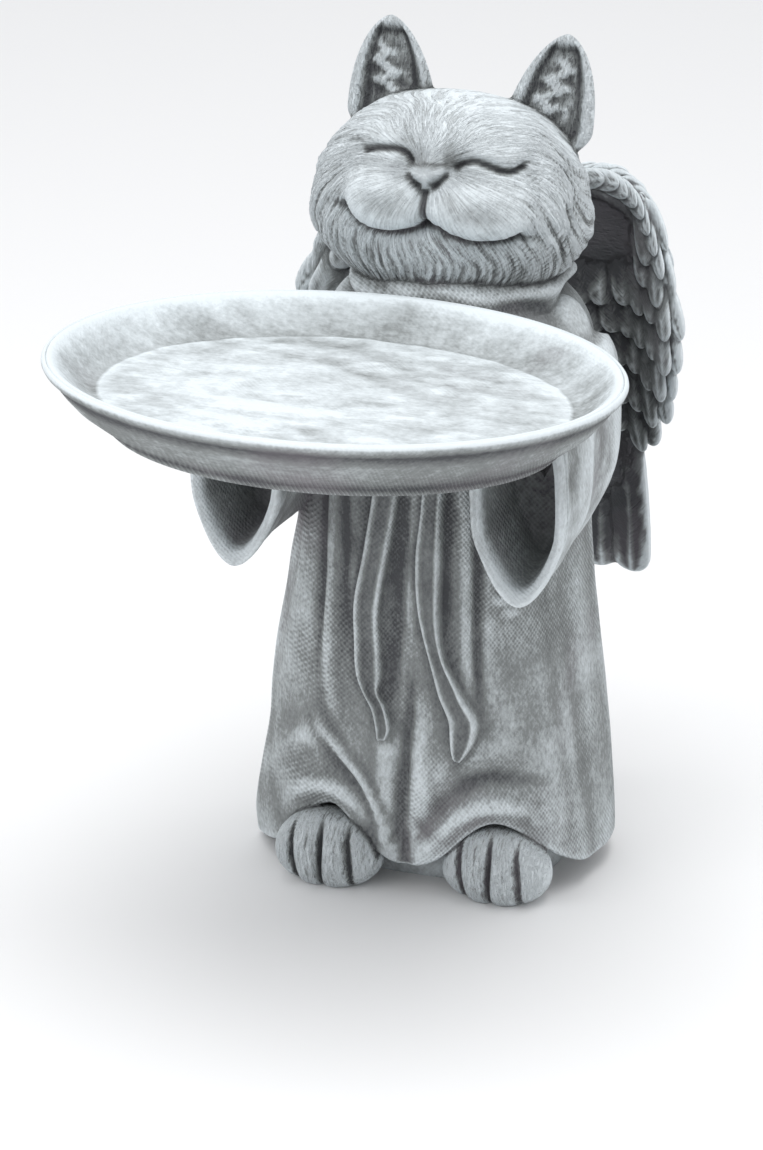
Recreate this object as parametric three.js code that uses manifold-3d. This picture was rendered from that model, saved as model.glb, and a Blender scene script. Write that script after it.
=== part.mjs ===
// Pet memorial statue: an angel cat in a long robe that holds out an oval dish, cast in one piece.
// Millimetres, +Z up. The front is -Y, and the origin is on the ground under the head.

import * as THREE from 'three';
import { mergeVertices } from 'three/addons/utils/BufferGeometryUtils.js';
import Module from 'manifold-3d';

const wasm = await Module();
wasm.setup();

// Driving dimensions
const figureHeight = 254;
const dishLength = 165.1;
const dishWidth = 129.2;
const dishRimHeight = 184;
const dishWallHeight = 20;
const dishFoot = 18;
const dishRimWidth = 3.2;
const dishWellDepth = 9.5;
const dishWellSlope = 11;
const cuffWall = 2.8;
const cuffDepth = 26;
const ribbonThickness = 2.4;
const wingThickness = 6;
const earThickness = 7;

// The figure's own proportions are in 1/254 of its height: x to its left, forward, up
const unit = figureHeight / 254;
const inFigure = (length) => length / unit;

function place(x, forward, up) {
  return new THREE.Vector3(x * unit, -forward * unit, up * unit);
}

// Smooth course of one column of a table of stations, whose first column is the height
function along(stations, column, height) {
  const last = stations.length - 1;
  const at = THREE.MathUtils.clamp(height, stations[0][0], stations[last][0]);
  let i = 0;
  while (i < last - 1 && stations[i + 1][0] < at) {
    i += 1;
  }
  const before = stations[Math.max(i - 1, 0)];
  const from = stations[i];
  const to = stations[i + 1];
  const after = stations[Math.min(i + 2, last)];
  const step = to[0] - from[0];
  const t = (at - from[0]) / step;
  const slopeFrom = (to[column] - before[column]) / (to[0] - before[0]);
  const slopeTo = (after[column] - from[column]) / (after[0] - from[0]);
  const rise = to[column] - from[column];
  const curve = t * t * (3 - 2 * t);
  const bendFrom = t * (1 - t) * (1 - t) * slopeFrom * step;
  const bendTo = -t * t * (1 - t) * slopeTo * step;
  return from[column] + rise * curve + bendFrom + bendTo;
}

// A soft bump of height 1 around 0, half as high at 0.83 of its width
function bump(distance, width) {
  return Math.exp(-(distance * distance) / (width * width));
}

function mix(a, b, t) {
  return a + (b - a) * t;
}

// The power that turns a circle into a rounder or squarer oval
function squared(value, power) {
  return Math.sign(value) * Math.abs(value) ** power;
}

// Six times the volume that a mesh encloses, below zero where its faces point in
function signedVolume(position, index) {
  const [a, b, c] = [new THREE.Vector3(), new THREE.Vector3(), new THREE.Vector3()];
  let sum = 0;
  for (let i = 0; i < index.count; i += 3) {
    a.fromBufferAttribute(position, index.getX(i));
    b.fromBufferAttribute(position, index.getX(i + 1));
    c.fromBufferAttribute(position, index.getX(i + 2));
    sum += a.dot(b.cross(c));
  }
  return sum;
}

// A form that mirrors its primitive turns the faces inwards, so they are turned back
function solid(geometry) {
  const { position } = geometry.attributes;
  const corners = new Uint32Array(geometry.index.array);
  if (signedVolume(position, geometry.index) < 0) {
    corners.reverse();
  }
  const mesh = new wasm.Mesh({
    numProp: 3,
    vertProperties: new Float32Array(position.array),
    triVerts: corners,
  });
  return new wasm.Manifold(mesh);
}

function onlyPositions(geometry) {
  geometry.deleteAttribute('normal');
  geometry.deleteAttribute('uv');
  return mergeVertices(geometry, 1e-5);
}

// Moves every vertex of a primitive to the point that the form function gives for it
function shaped(geometry, form) {
  const bare = onlyPositions(geometry);
  const position = bare.attributes.position;
  const vertex = new THREE.Vector3();
  for (let i = 0; i < position.count; i += 1) {
    vertex.fromBufferAttribute(position, i);
    const moved = form(vertex);
    position.setXYZ(i, moved.x, moved.y, moved.z);
  }
  return solid(bare);
}

// A ball whose form function gets the unit vector to the side, forward and up
function ball(around, tall, form) {
  const sphere = new THREE.SphereGeometry(1, around, tall);
  sphere.rotateX(Math.PI / 2);
  return shaped(sphere, (v) => form(v.x, -v.y, v.z));
}

// A closed tube whose form function gets the angle from the front and 0 to 1 up the tube
function tube(around, rings, form) {
  const cylinder = new THREE.CylinderGeometry(1, 1, 1, around, rings);
  cylinder.rotateX(Math.PI / 2);
  return shaped(cylinder, (v) => {
    const radius = Math.min(1, Math.hypot(v.x, v.y));
    return form(Math.atan2(v.x, -v.y), v.z + 0.5, radius);
  });
}

// Robe: height, half width, half depth, sideways centre, forward centre
const robeStations = [
  [0, 54, 36, -6.5, 0],
  [12, 54.5, 37, -6.5, 0],
  [40, 51, 37, -5.5, 0.5],
  [70, 47.5, 36.5, -5, 2],
  [100, 43.5, 36.5, -3.5, 3],
  [128, 41.5, 39, -1.5, 3],
  [150, 41, 42, 0, 3],
  [164, 39, 44, 0, 3],
  [172, 34, 39, 0, 0],
  [180, 27, 30, 0, -2],
  [190, 20, 20, 0, -6],
];
const robeTop = 190;
const robeSquareness = 0.86;
const hemLift = 7;
const hemArch = 25;
const footSpread = 25.5;

// Height of the hem's lower edge: it arches over both feet, dips between them and comes down at the sides
function hemHeight(x, forward) {
  const side = hemLift * THREE.MathUtils.smoothstep(x, -50, 30);
  const arches = Math.min(1, bump(x - footSpread, 14) + bump(x + footSpread, 15));
  const front = THREE.MathUtils.smoothstep(forward, 4, 24);
  return mix(side, mix(side + 4, hemArch, arches), front);
}

// Pleats: angle at the hem, angle at the waist, depth, width
const pleats = [
  [-1.02, -0.72, -2.2, 0.11],
  [-0.66, -0.5, 1.6, 0.13],
  [0.42, 0.47, 1.9, 0.09],
  [0.56, 0.58, -2.4, 0.07],
  [0.98, 0.86, 1.8, 0.13],
  [1.45, 1.2, -2.4, 0.14],
  [-1.5, -1.25, -2.2, 0.14],
  [2.1, 1.9, 2, 0.2],
  [-2.1, -1.9, 2, 0.2],
  [2.6, 2.4, -2, 0.16],
  [-2.6, -2.4, -2, 0.16],
  [3.1, 3.1, 1.6, 0.16],
];
const swagSide = 44;
const swagLow = 13;
const swagRise = 30;
const waist = 130;
const pleatsFull = 60;

// How far the cloth stands out: pleats below the waist, its tied pinch, and two swags across the front
function clothRelief(angle, x, height) {
  const down = 1 - THREE.MathUtils.smoothstep(height, pleatsFull, waist);
  let relief = -2 * bump(height - waist - 6, 5);
  for (const [hem, top, depth, width] of pleats) {
    const course = mix(hem, top, Math.min(1, height / waist));
    relief += depth * bump(angle - course, width) * down;
  }
  const reach = Math.min(1, Math.abs(x + 1) / swagSide);
  const swag = swagLow + swagRise * Math.sin(reach * Math.PI / 2);
  relief += (2 * bump(height - swag, 6) - 1.5 * bump(height - swag - 10, 6)) * bump(angle, 1.1);
  return relief;
}

function robePoint(angle, height) {
  const halfWidth = along(robeStations, 1, height);
  const halfDepth = along(robeStations, 2, height);
  const x = along(robeStations, 3, height) + halfWidth * squared(Math.sin(angle), robeSquareness);
  const forward = along(robeStations, 4, height) + halfDepth * squared(Math.cos(angle), robeSquareness);
  const relief = clothRelief(angle, x, height);
  return [x + relief * Math.sin(angle), forward + relief * Math.cos(angle)];
}

// How far forward the robe's front lies at a given place across it
function robeFront(x, height) {
  const halfWidth = along(robeStations, 1, height);
  const across = THREE.MathUtils.clamp((x - along(robeStations, 3, height)) / halfWidth, -0.98, 0.98);
  return robePoint(Math.asin(squared(across, 1 / robeSquareness)), height)[1];
}

function robe() {
  return tube(44, 12, (angle, up, radius) => {
    const [hemX, hemForward] = robePoint(angle, 0);
    const height = mix(hemHeight(hemX, hemForward), robeTop, up ** 1.1);
    const [x, forward] = robePoint(angle, height);
    const underside = up === 0 && radius < 0.5;
    return place(x * radius, forward * radius, underside ? 2 * hemLift : height);
  });
}

const baseHalfWidth = 41;
const baseHalfDepth = 31;

// The solid under the cloth, set well back from the hem, which carries the statue behind its feet
function underBase() {
  const top = 40;
  return tube(32, 1, (angle, up, radius) => {
    const x = -8 + baseHalfWidth * squared(Math.sin(angle), robeSquareness) * radius;
    const forward = -9 + baseHalfDepth * squared(Math.cos(angle), robeSquareness) * radius;
    return place(x, forward, up * top);
  });
}

const pawHalfWidth = 16.5;
const pawLength = 11;
const pawHeight = 26;
const leftPawFront = 45;
const rightPawFront = 38.5;
const toeGrooves = [-8.5, 0.5, 9];

function foot(side) {
  const pawFront = side < 0 ? leftPawFront : rightPawFront;
  return ball(20, 8, (x, forward, up) => {
    const across = x * pawHalfWidth * (1 - 0.12 * up);
    let reach = pawFront - pawLength + pawLength * squared(forward, 0.8);
    for (const groove of toeGrooves) {
      const front = Math.max(0, forward) * THREE.MathUtils.clamp(1.15 - 0.6 * up, 0, 1);
      reach -= 2.6 * bump(across - groove, 1.9) * front;
    }
    const height = Math.max(0, pawHeight * 0.5 * (1 + 1.12 * squared(up, 0.9)) * (0.94 + 0.06 * forward));
    return place(side * footSpread - 1 + across, reach, height);
  });
}

// Sleeve: how far forward, lowest point, half width, sideways centre
const sleeveStations = [
  [-16, 128, 7, 37],
  [-4, 118, 10, 38.5],
  [20, 113, 12, 40],
  [45, 111, 13, 41.5],
  [65, 108.5, 13.5, 42],
];
const sleeveFront = 65;
const sleeveBack = -16;
const dishBottom = inFigure(dishRimHeight - dishWallHeight);
const dishOverlap = 2.5;

// A section that is broad under the dish and hangs to a point: the angle is 0 at the lower tip
function sleevePoint(side, angle, forward, top, inset) {
  const tip = along(sleeveStations, 1, forward) + inset * 1.6;
  const halfWidth = along(sleeveStations, 2, forward) - inset;
  const centre = along(sleeveStations, 3, forward);
  const raised = (1 - squared(Math.cos(angle), angle > 0.5 * Math.PI ? 0.6 : 1)) / 2;
  const swing = squared(Math.sin(angle), Math.abs(angle) > 0.5 * Math.PI ? 0.6 : 1);
  const width = halfWidth * swing * Math.min(1, 0.42 + 1.05 * raised);
  return place(side * (centre + 1.5 * (1 - raised)) + width, forward, mix(tip, top, raised ** 0.92));
}

function sleeve(side) {
  const wall = inFigure(cuffWall);
  const depth = inFigure(cuffDepth);
  const middle = (sleeveStations[4][1] + dishBottom) / 2;
  const outside = tube(14, 5, (angle, back, radius) => {
    const forward = mix(sleeveBack, sleeveFront, back);
    const centre = place(side * along(sleeveStations, 3, forward), forward, middle);
    return radius < 0.5 ? centre : sleevePoint(side, angle, forward, dishBottom + dishOverlap, 0);
  });
  const hollow = tube(12, 1, (angle, back, radius) => {
    const forward = mix(sleeveFront - depth, sleeveFront, back);
    const reach = back > 0.5 ? sleeveFront + 2 * wall : forward;
    const centre = place(side * along(sleeveStations, 3, forward), reach, middle);
    const rim = sleevePoint(side, angle, forward, dishBottom - 0.5 * wall, wall * (2.4 - 1.4 * back));
    rim.y = -reach * unit;
    return radius < 0.5 ? centre : rim;
  });
  return outside.subtract(hollow);
}

const forearmHalfWidth = 9.5;
const forearmSpread = 41;
const forearmFront = 74;
const forearmBack = 2;

// The forearm and paw inside the sleeve, which come up under the dish and carry it
function carryingPaw(side) {
  return ball(10, 6, (x, forward, up) => {
    const reach = mix(forearmBack, forearmFront, (forward + 1) / 2);
    const rise = dishBottom - forearmHalfWidth + dishOverlap + 2 * forward;
    return place(side * forearmSpread + x * forearmHalfWidth, reach, rise + up * forearmHalfWidth);
  });
}

const armHalfWidth = 12;
const armHalfDepth = 17;
const elbow = [35, 4, 111];
const shoulder = [31, -2, 179];

function upperArm(side) {
  return ball(10, 8, (x, forward, up) => {
    const raised = (up + 1) / 2;
    const across = mix(elbow[0], shoulder[0], raised) + armHalfWidth * x;
    const reach = mix(elbow[1], shoulder[1], raised) + armHalfDepth * forward;
    return place(side * across, reach, mix(elbow[2], shoulder[2], raised));
  });
}

// Distance from the head's middle forward to the edge of the dish that meets the chest
const dishBack = 29.1;

// Oval dish: the profile is a distance in from the outer edge and a height under the rim
function dish() {
  const centre = dishBack * unit + dishWidth / 2;
  const rim = dishRimWidth;
  const wellFloor = dishWellDepth;
  const profile = [
    [0, dishWallHeight, 0],
    [1, dishWallHeight, dishFoot],
    [1, dishWallHeight * 0.86, dishFoot * 0.86],
    [1, dishWallHeight * 0.55, dishFoot * 0.42],
    [1, dishWallHeight * 0.2, dishFoot * 0.12],
    [1, 1.4, 0],
    [1, 0, 0.8],
    [1, 0, rim - 0.6],
    [1, 1.4, rim + 0.2],
    [1, wellFloor * 0.62, rim + dishWellSlope * 0.42],
    [1, wellFloor * 0.94, rim + dishWellSlope * 0.86],
    [1, wellFloor, rim + dishWellSlope * 1.2],
    [0, wellFloor, 0],
  ];
  const outline = profile.map(([edge, down, inset]) => {
    const radius = edge === 0 ? 0 : dishLength / 2 - inset;
    return new THREE.Vector2(radius, dishRimHeight - down);
  });
  const lathe = new THREE.LatheGeometry(outline, 40);
  lathe.rotateX(Math.PI / 2);
  return shaped(lathe, (v) => {
    const radius = Math.hypot(v.x, v.y);
    if (radius < 0.01) {
      return new THREE.Vector3(0, -centre, v.z);
    }
    const inset = dishLength / 2 - radius;
    const across = (v.x / radius) * (dishLength / 2 - inset * 1.05);
    const deep = (v.y / radius) * (dishWidth / 2 - inset * 0.95);
    return new THREE.Vector3(across, deep - centre, v.z);
  });
}

const collarLow = 173;
const collarHigh = 192;
const collarHalf = [26, 21];
const collarRoll = [11, 9];
const collarPleat = 1.1;

// A band of folded cloth around the neck
function collar() {
  return tube(24, 4, (angle, up, radius) => {
    const roll = Math.sin(up * Math.PI);
    const pleat = collarPleat * Math.sin(angle * 9 + up * 5);
    const x = (collarHalf[0] + collarRoll[0] * roll + pleat) * Math.sin(angle);
    const forward = (collarHalf[1] + collarRoll[1] * roll + pleat) * Math.cos(angle) - 2;
    const height = mix(collarLow, collarHigh, up) - 4 * Math.cos(angle);
    return place(radius * x, radius * forward, height);
  });
}

// Ribbons: height, sideways centre, half width, in the order from the hem to the waist
const leftRibbon = [
  [50, -8, 2.2],
  [60, -9, 3.2],
  [77, -12.5, 3.8],
  [92, -12, 3.6],
  [110, -8.5, 3.5],
  [132, -4.5, 3.8],
];
const rightRibbon = [
  [46, 16, 1.6],
  [56, 17, 3.6],
  [66, 14, 3.8],
  [80, 10, 3.2],
  [95, 7, 3.2],
  [110, 7.4, 3.3],
  [132, 9.5, 3.2],
];

function ribbon(stations) {
  const low = stations[0][0];
  const high = stations[stations.length - 1][0];
  const strip = new THREE.BoxGeometry(2, 1, 1, 2, 1, 10);
  return shaped(strip, (v) => {
    const height = mix(low, high, v.z + 0.5);
    const halfWidth = along(stations, 2, height);
    const x = along(stations, 1, height) + v.x * halfWidth;
    const proud = v.y < 0 ? inFigure(ribbonThickness) - 0.6 * Math.abs(v.x) : -4;
    return place(x, robeFront(x, height) + proud, height);
  });
}

// Head
const headCentre = [-1.5, 0.5, 207];
const headHalf = [38.3, 26, 29.5];
const headRoll = THREE.MathUtils.degToRad(3);
const headTurn = THREE.MathUtils.degToRad(9);

// Turns and rolls a point of the head, given from the head's centre, into the figure
function onHead(x, forward, up) {
  const rolledX = x * Math.cos(headRoll) + up * Math.sin(headRoll);
  const rolledUp = up * Math.cos(headRoll) - x * Math.sin(headRoll);
  const turnedX = rolledX * Math.cos(headTurn) + forward * Math.sin(headTurn);
  const turnedForward = forward * Math.cos(headTurn) - rolledX * Math.sin(headTurn);
  return place(headCentre[0] + turnedX, headCentre[1] + turnedForward, headCentre[2] + rolledUp);
}

// Whisker pads, nose, brow, cheeks and chin: sideways, up, spread, how far they stand out
const faceForms = [
  [-11.5, 4, 10.5, 4.6],
  [11.5, 4, 10.5, 4.6],
  [0, 9, 4.5, 3.6],
  [0, -13, 8, 2.8],
  [-20, 19, 9, 1.4],
  [20, 19, 9, 1.4],
  [0, -2, 2.2, -2.6],
];
const eyeSlits = [[-15.5, 13], [15.5, 13]];
const mouthHalfWidth = 25;

// How far a point of the face stands out of the plain head
function faceRelief(x, up, forward) {
  if (forward <= 0) {
    return 0;
  }
  let relief = 0;
  for (const [formX, formUp, spread, height] of faceForms) {
    relief += height * bump(Math.hypot(x - formX, up - formUp), spread);
  }
  for (const [eyeX, eyeUp] of eyeSlits) {
    const arch = eyeUp - ((x - eyeX) / 9) ** 2 * 3;
    relief -= 2.4 * bump(up - arch, 1.5) * bump(x - eyeX, 8.5);
  }
  const smile = -7 + 4.5 * (Math.abs(Math.abs(x) - 12) / 12) ** 2;
  relief -= 2.6 * bump(up - smile, 1.6) * bump(x, mouthHalfWidth);
  return relief * Math.min(1, forward * 2.2);
}

const lockCount = 22;

// Locks of fur that point out of the cheeks and the back of the head
function furRelief(angle, up) {
  const side = THREE.MathUtils.smoothstep(Math.abs(angle), 0.75, 1.15);
  const lock = Math.abs(Math.sin(angle * lockCount * 0.5 + up * 4));
  return side * 1.6 * (lock - 0.4);
}

function head() {
  return ball(34, 20, (dx, df, dz) => {
    const angle = Math.atan2(dx, df);
    const level = Math.hypot(dx, df);
    const jowl = 1 + 0.1 * bump(dz + 0.35, 0.4);
    const x = headHalf[0] * squared(dx, 0.88) * jowl;
    const forward = headHalf[1] * squared(df, 0.8) * (df > 0 ? 1 : 1.15);
    const up = headHalf[2] * squared(dz, 0.92) * (dz > 0 ? 0.97 : 1);
    const out = faceRelief(x, up, df) + furRelief(angle, dz) * level;
    return onHead(x + out * dx * 0.9, forward + out * df, up);
  });
}

const earHalfWidth = 14;
const earFoot = [22, -8, 12];
const earTip = [26, -16, 45.8];
const earShift = 1.8;

function ear(side) {
  return ball(12, 9, (x, forward, up) => {
    const rise = (up + 1) / 2;
    const taper = Math.sqrt(1 - rise ** 2.6);
    const width = earHalfWidth * taper * squared(x, 0.8) * mix(1.1, 0.8, rise);
    const scoop = forward > 0 ? -4.5 * (1 - Math.abs(x)) * (1 - rise) * taper : 0;
    const thickness = inFigure(earThickness) * 0.62 * mix(1.3, 0.5, rise) * forward;
    const across = side * mix(earFoot[0], earTip[0], rise) + earShift + width;
    return onHead(across, mix(earFoot[1], earTip[1], rise) + thickness + scoop, mix(earFoot[2], earTip[2], rise));
  });
}

// A wing is cupped: it starts at the back, bulges behind the shoulder and comes forward to its outer edge
const wingRoot = 9;
const wingSpan = 62;
const wingEdge = -24;
const wingBulge = 30;
const wingSweep = 14;

function wingForward(x, height) {
  const across = THREE.MathUtils.clamp((x - wingRoot) / (wingSpan - wingRoot), 0, 1);
  const cup = Math.sin(Math.PI * across ** 0.75) ** 1.3;
  const sweep = 1 - THREE.MathUtils.smoothstep(height, 76, 150);
  return mix(-32, wingEdge, Math.min(1, across * 3)) - wingBulge * cup - wingSweep * sweep;
}

// Feathers: root across and up, tip across and up, half width, how far each stands out
const longFeathers = [
  [37, 193, 51.5, 185, 6, 0],
  [41, 189, 56.5, 173.5, 7, 0.2],
  [43, 183, 60, 162, 7.5, 0.4],
  [43, 176, 58, 151, 8, 0.7],
  [41, 166, 53, 134, 8.5, 1],
  [38, 156, 43, 120, 8, 1.3],
  [33, 144, 33.5, 76, 6.5, 1.6],
  [26, 140, 27, 73, 6, 1.9],
  [19, 138, 21, 80, 5.5, 2.2],
];
const shortFeathers = [
  [32, 191, 40, 168, 6.5, 2.2],
  [27, 190, 31, 160, 6.5, 2.6],
  [20, 186, 21, 152, 6.5, 3],
  [40, 176, 46, 150, 6.5, 2.6],
  [33, 166, 36, 136, 6.5, 3],
  [25, 160, 26, 128, 6.5, 3.4],
];

function feather(side, rootX, rootUp, tipX, tipUp, halfWidth, proud) {
  const direction = new THREE.Vector2(tipX - rootX, tipUp - rootUp);
  const length = direction.length();
  direction.normalize();
  return ball(8, 4, (across, thick, lengthwise) => {
    const run = (lengthwise + 1) / 2;
    const spread = across * halfWidth * mix(1, 0.9, run);
    const x = rootX + direction.x * run * length + direction.y * spread;
    const up = rootUp + direction.y * run * length - direction.x * spread;
    const depth = thick * (inFigure(wingThickness) / 2 + proud);
    return place(side * x, wingForward(x, up) + depth, up);
  });
}

// The wing's plain shell, under its feathers: up, inner edge, outer edge
const wingStations = [
  [84, 18, 33],
  [105, 14, 36],
  [122, 10, 42],
  [135, 9, 49],
  [150, 9, 54],
  [163, 9, 57],
  [175, 9, 55],
  [184, 9, 49],
  [191, 10, 41],
  [196, 13, 34],
  [200, 19, 27],
];

function wingShell(side) {
  const low = wingStations[0][0];
  const high = wingStations[wingStations.length - 1][0];
  return ball(10, 8, (x, thick, lengthwise) => {
    const up = mix(low, high, Math.asin(lengthwise) / Math.PI + 0.5);
    const level = Math.max(0.001, Math.hypot(x, thick));
    const across = mix(along(wingStations, 1, up), along(wingStations, 2, up), (x / level + 1) / 2);
    const depth = (thick / level) * (inFigure(wingThickness) / 2) * Math.min(1, level * 2);
    return place(side * across, wingForward(across, up) + depth, up);
  });
}

function wing(side) {
  let feathered = wingShell(side);
  for (const [rootX, rootUp, tipX, tipUp, halfWidth, proud] of [...longFeathers, ...shortFeathers]) {
    feathered = feathered.add(feather(side, rootX, rootUp, tipX, tipUp, halfWidth, proud));
  }
  return feathered;
}

const backHalf = [20, 12, 44];
const backCentre = [0, -30, 158];

// The back between the wings, which holds their roots
function wingRoots() {
  return ball(12, 6, (x, forward, up) => {
    return place(x * backHalf[0], backCentre[1] + forward * backHalf[1], backCentre[2] + up * backHalf[2]);
  });
}

// What lies below the ground, which cuts the underside flat
function ground() {
  const reach = 2 * (figureHeight + dishLength + dishWidth);
  const block = new THREE.BoxGeometry(reach, reach, figureHeight);
  block.translate(0, 0, -figureHeight / 2);
  return solid(onlyPositions(block));
}

function statue() {
  let whole = robe().add(underBase()).add(collar()).add(head()).add(dish()).add(wingRoots());
  for (const side of [-1, 1]) {
    for (const piece of [foot, sleeve, carryingPaw, upperArm, ear, wing]) {
      whole = whole.add(piece(side));
    }
  }
  return whole.add(ribbon(leftRibbon)).add(ribbon(rightRibbon)).subtract(ground());
}

function geometryOf(manifold) {
  const mesh = manifold.getMesh();
  const geometry = new THREE.BufferGeometry();
  geometry.setAttribute('position', new THREE.BufferAttribute(new Float32Array(mesh.vertProperties), 3));
  geometry.setIndex(new THREE.BufferAttribute(new Uint32Array(mesh.triVerts), 1));
  geometry.computeVertexNormals();
  return geometry;
}

const castStone = new THREE.MeshStandardMaterial({ color: 0x9aa0a0, roughness: 0.85, metalness: 0 });

const group = new THREE.Group();
const casting = new THREE.Mesh(geometryOf(statue()), castStone);
casting.name = 'cat_angel_statue';
group.add(casting);

export default group;
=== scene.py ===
# Pet memorial statue: an angel cat in a robe that holds out an oval dish, cast in one piece.
# Sizes are in millimetres of a statue 254 high, as x, forward and up. UNIT turns them into metres.
import itertools
import math

import bmesh
import bpy
import numpy as np
from mathutils import Matrix, Vector
from mathutils.bvhtree import BVHTree
from mathutils.kdtree import KDTree


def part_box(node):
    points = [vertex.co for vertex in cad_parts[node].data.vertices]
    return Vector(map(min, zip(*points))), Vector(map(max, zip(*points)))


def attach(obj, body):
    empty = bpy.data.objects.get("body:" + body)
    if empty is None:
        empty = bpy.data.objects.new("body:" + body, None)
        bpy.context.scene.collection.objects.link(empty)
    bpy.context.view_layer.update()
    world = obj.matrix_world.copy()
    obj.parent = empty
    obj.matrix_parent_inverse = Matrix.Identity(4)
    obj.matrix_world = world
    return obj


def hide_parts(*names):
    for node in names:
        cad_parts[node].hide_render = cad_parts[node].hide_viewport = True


NODE = "cat_angel_statue"
FIGURE = 254.0

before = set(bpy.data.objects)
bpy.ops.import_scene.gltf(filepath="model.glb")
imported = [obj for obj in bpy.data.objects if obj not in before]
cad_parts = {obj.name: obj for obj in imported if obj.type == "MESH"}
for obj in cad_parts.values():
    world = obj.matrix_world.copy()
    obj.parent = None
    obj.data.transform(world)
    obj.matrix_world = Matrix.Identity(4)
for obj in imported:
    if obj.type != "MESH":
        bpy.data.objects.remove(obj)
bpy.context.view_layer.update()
node_low, node_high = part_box(NODE)
UNIT = (node_high[2] - node_low[2]) / FIGURE
# From across, forward and up to Blender's axes, where forward is -Y
PLACED = np.array([1, -1, 1]) * UNIT

DISH_HALF_LENGTH = (node_high[0] - node_low[0]) / 2 / UNIT
DISH_BACK = 29.1
DISH_FRONT = -node_low[1] / UNIT
DISH_HALF_WIDTH = (DISH_FRONT - DISH_BACK) / 2
DISH_CENTRE = (DISH_FRONT + DISH_BACK) / 2
DISH_RIM = 184.0
DISH_WALL = 20.0
DISH_FOOT = 18.0
DISH_RIM_WIDTH = 3.2
WELL_DEPTH = 9.5
WELL_SLOPE = 11.0

# Kinds of surface, and how densely the grain runs across, forward and up
FUR, CLOTH, FEATHER, PLAIN = range(4)
CLOTH_GRAIN = (1.1, 1.1, 0.5)
COLLAR_GRAIN = (1.1, 1.1, 1.1)
PAW_GRAIN = (2.0, 0.3, 0.35)
FOREARM_GRAIN = (2.0, 0.4, 2.0)
EAR_GRAIN = (2.2, 0.6, 0.45)
DISH_GRAIN = (0.25, 0.9, 0.9)
EDGE_GRAIN = (0.4, 0.4, 0.4)

# How much lighter than the middle grey each form is painted, partly for its worn dry brushing and partly as
# painted light and shade:
# painted light on upward faces, the head and the dish's slope and floor, painted shade on the dish's wall,
# the feet, the robe and the wings, and the sleeves' hollows painted lighter against their shade
BRIGHT_TOP_DUST_AND_PAINTED_LIGHT = 0.2
BRIGHT_HEAD_WITH_PAINTED_LIGHT = 0.4
BRIGHT_PADS = -0.5
BRIGHT_DISH_WITH_PAINTED_LIGHT = 0.22
BRIGHT_SLOPE_WITH_PAINTED_LIGHT = 0.5
BRIGHT_WALL_PAINTED_SHADE = -0.75
BRIGHT_EARS = 0.38
BRIGHT_FEET_WITH_PAINTED_SHADE = -0.1
BRIGHT_ROBE_WITH_PAINTED_SHADE = -0.12
BRIGHT_RIBBONS = 0.05
BRIGHT_ARMS = 0.02
BRIGHT_CUFFS_PAINTED_LIGHT = 0.35
BRIGHT_COLLAR = 0.1
BRIGHT_WINGS_WITH_PAINTED_SHADE = -0.25
BRIGHT_EDGES = 0.3


def mix(a, b, t):
    return a + (b - a) * t


def smoothstep(value, low, high):
    t = np.clip((value - low) / (high - low), 0, 1)
    return t * t * (3 - 2 * t)


def bump(distance, width):
    """A soft bump of height 1 around 0."""
    return np.exp(-((distance / width) ** 2))


def squared(value, power):
    return np.sign(value) * np.abs(value) ** power


def unit(vector):
    return np.array(vector) / np.linalg.norm(vector)


def stacked(parts):
    return np.stack(np.broadcast_arrays(*parts), -1)


def along(stations, column, place):
    """Smooth course of one column of a table, whose first column is the place."""
    table = np.array(stations, float)
    knots = table[:, 0]
    values = table[:, column]
    at = np.clip(place, knots[0], knots[-1])
    i = np.clip(np.searchsorted(knots, at) - 1, 0, len(knots) - 2)
    before = np.maximum(i - 1, 0)
    after = np.minimum(i + 2, len(knots) - 1)
    step = knots[i + 1] - knots[i]
    t = (at - knots[i]) / step
    slope_from = (values[i + 1] - values[before]) / (knots[i + 1] - knots[before])
    slope_to = (values[after] - values[i]) / (knots[after] - knots[i])
    rise = (values[i + 1] - values[i]) * t * t * (3 - 2 * t)
    bend = t * (1 - t) * (1 - t) * slope_from * step - t * t * (1 - t) * slope_to * step
    return values[i] + rise + bend


def noise(x, y, z, seed=0):
    """Smooth lattice noise from -1 to 1."""
    point = stacked((x, y, z)).astype(float)
    cell = np.floor(point).astype(np.int64)
    part = point - cell
    blend = part * part * (3 - 2 * part)
    total = np.zeros(point.shape[:-1])
    for corner in itertools.product((0, 1), repeat=3):
        key = ((cell + np.array(corner)) * np.array([73856093, 19349663, 83492791])).sum(-1)
        key = (key + seed * 2654435761) & 0xFFFFFFFF
        key = ((key ^ (key >> 15)) * 2246822519) & 0xFFFFFFFF
        key = ((key ^ (key >> 13)) * 3266489917) & 0xFFFFFFFF
        value = ((key ^ (key >> 16)) & 0xFFFF) / 32767.5 - 1
        weight = np.where(np.array(corner) == 1, blend, 1 - blend).prod(-1)
        total += value * weight
    return total


def rounded_line(line):
    """The same line with its corners rounded."""
    table = [(i, *place) for i, place in enumerate(line)]
    at = np.linspace(0, len(line) - 1, 3 * (len(line) - 1) + 1)
    return list(zip(along(table, 1, at), along(table, 2, at)))


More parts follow.
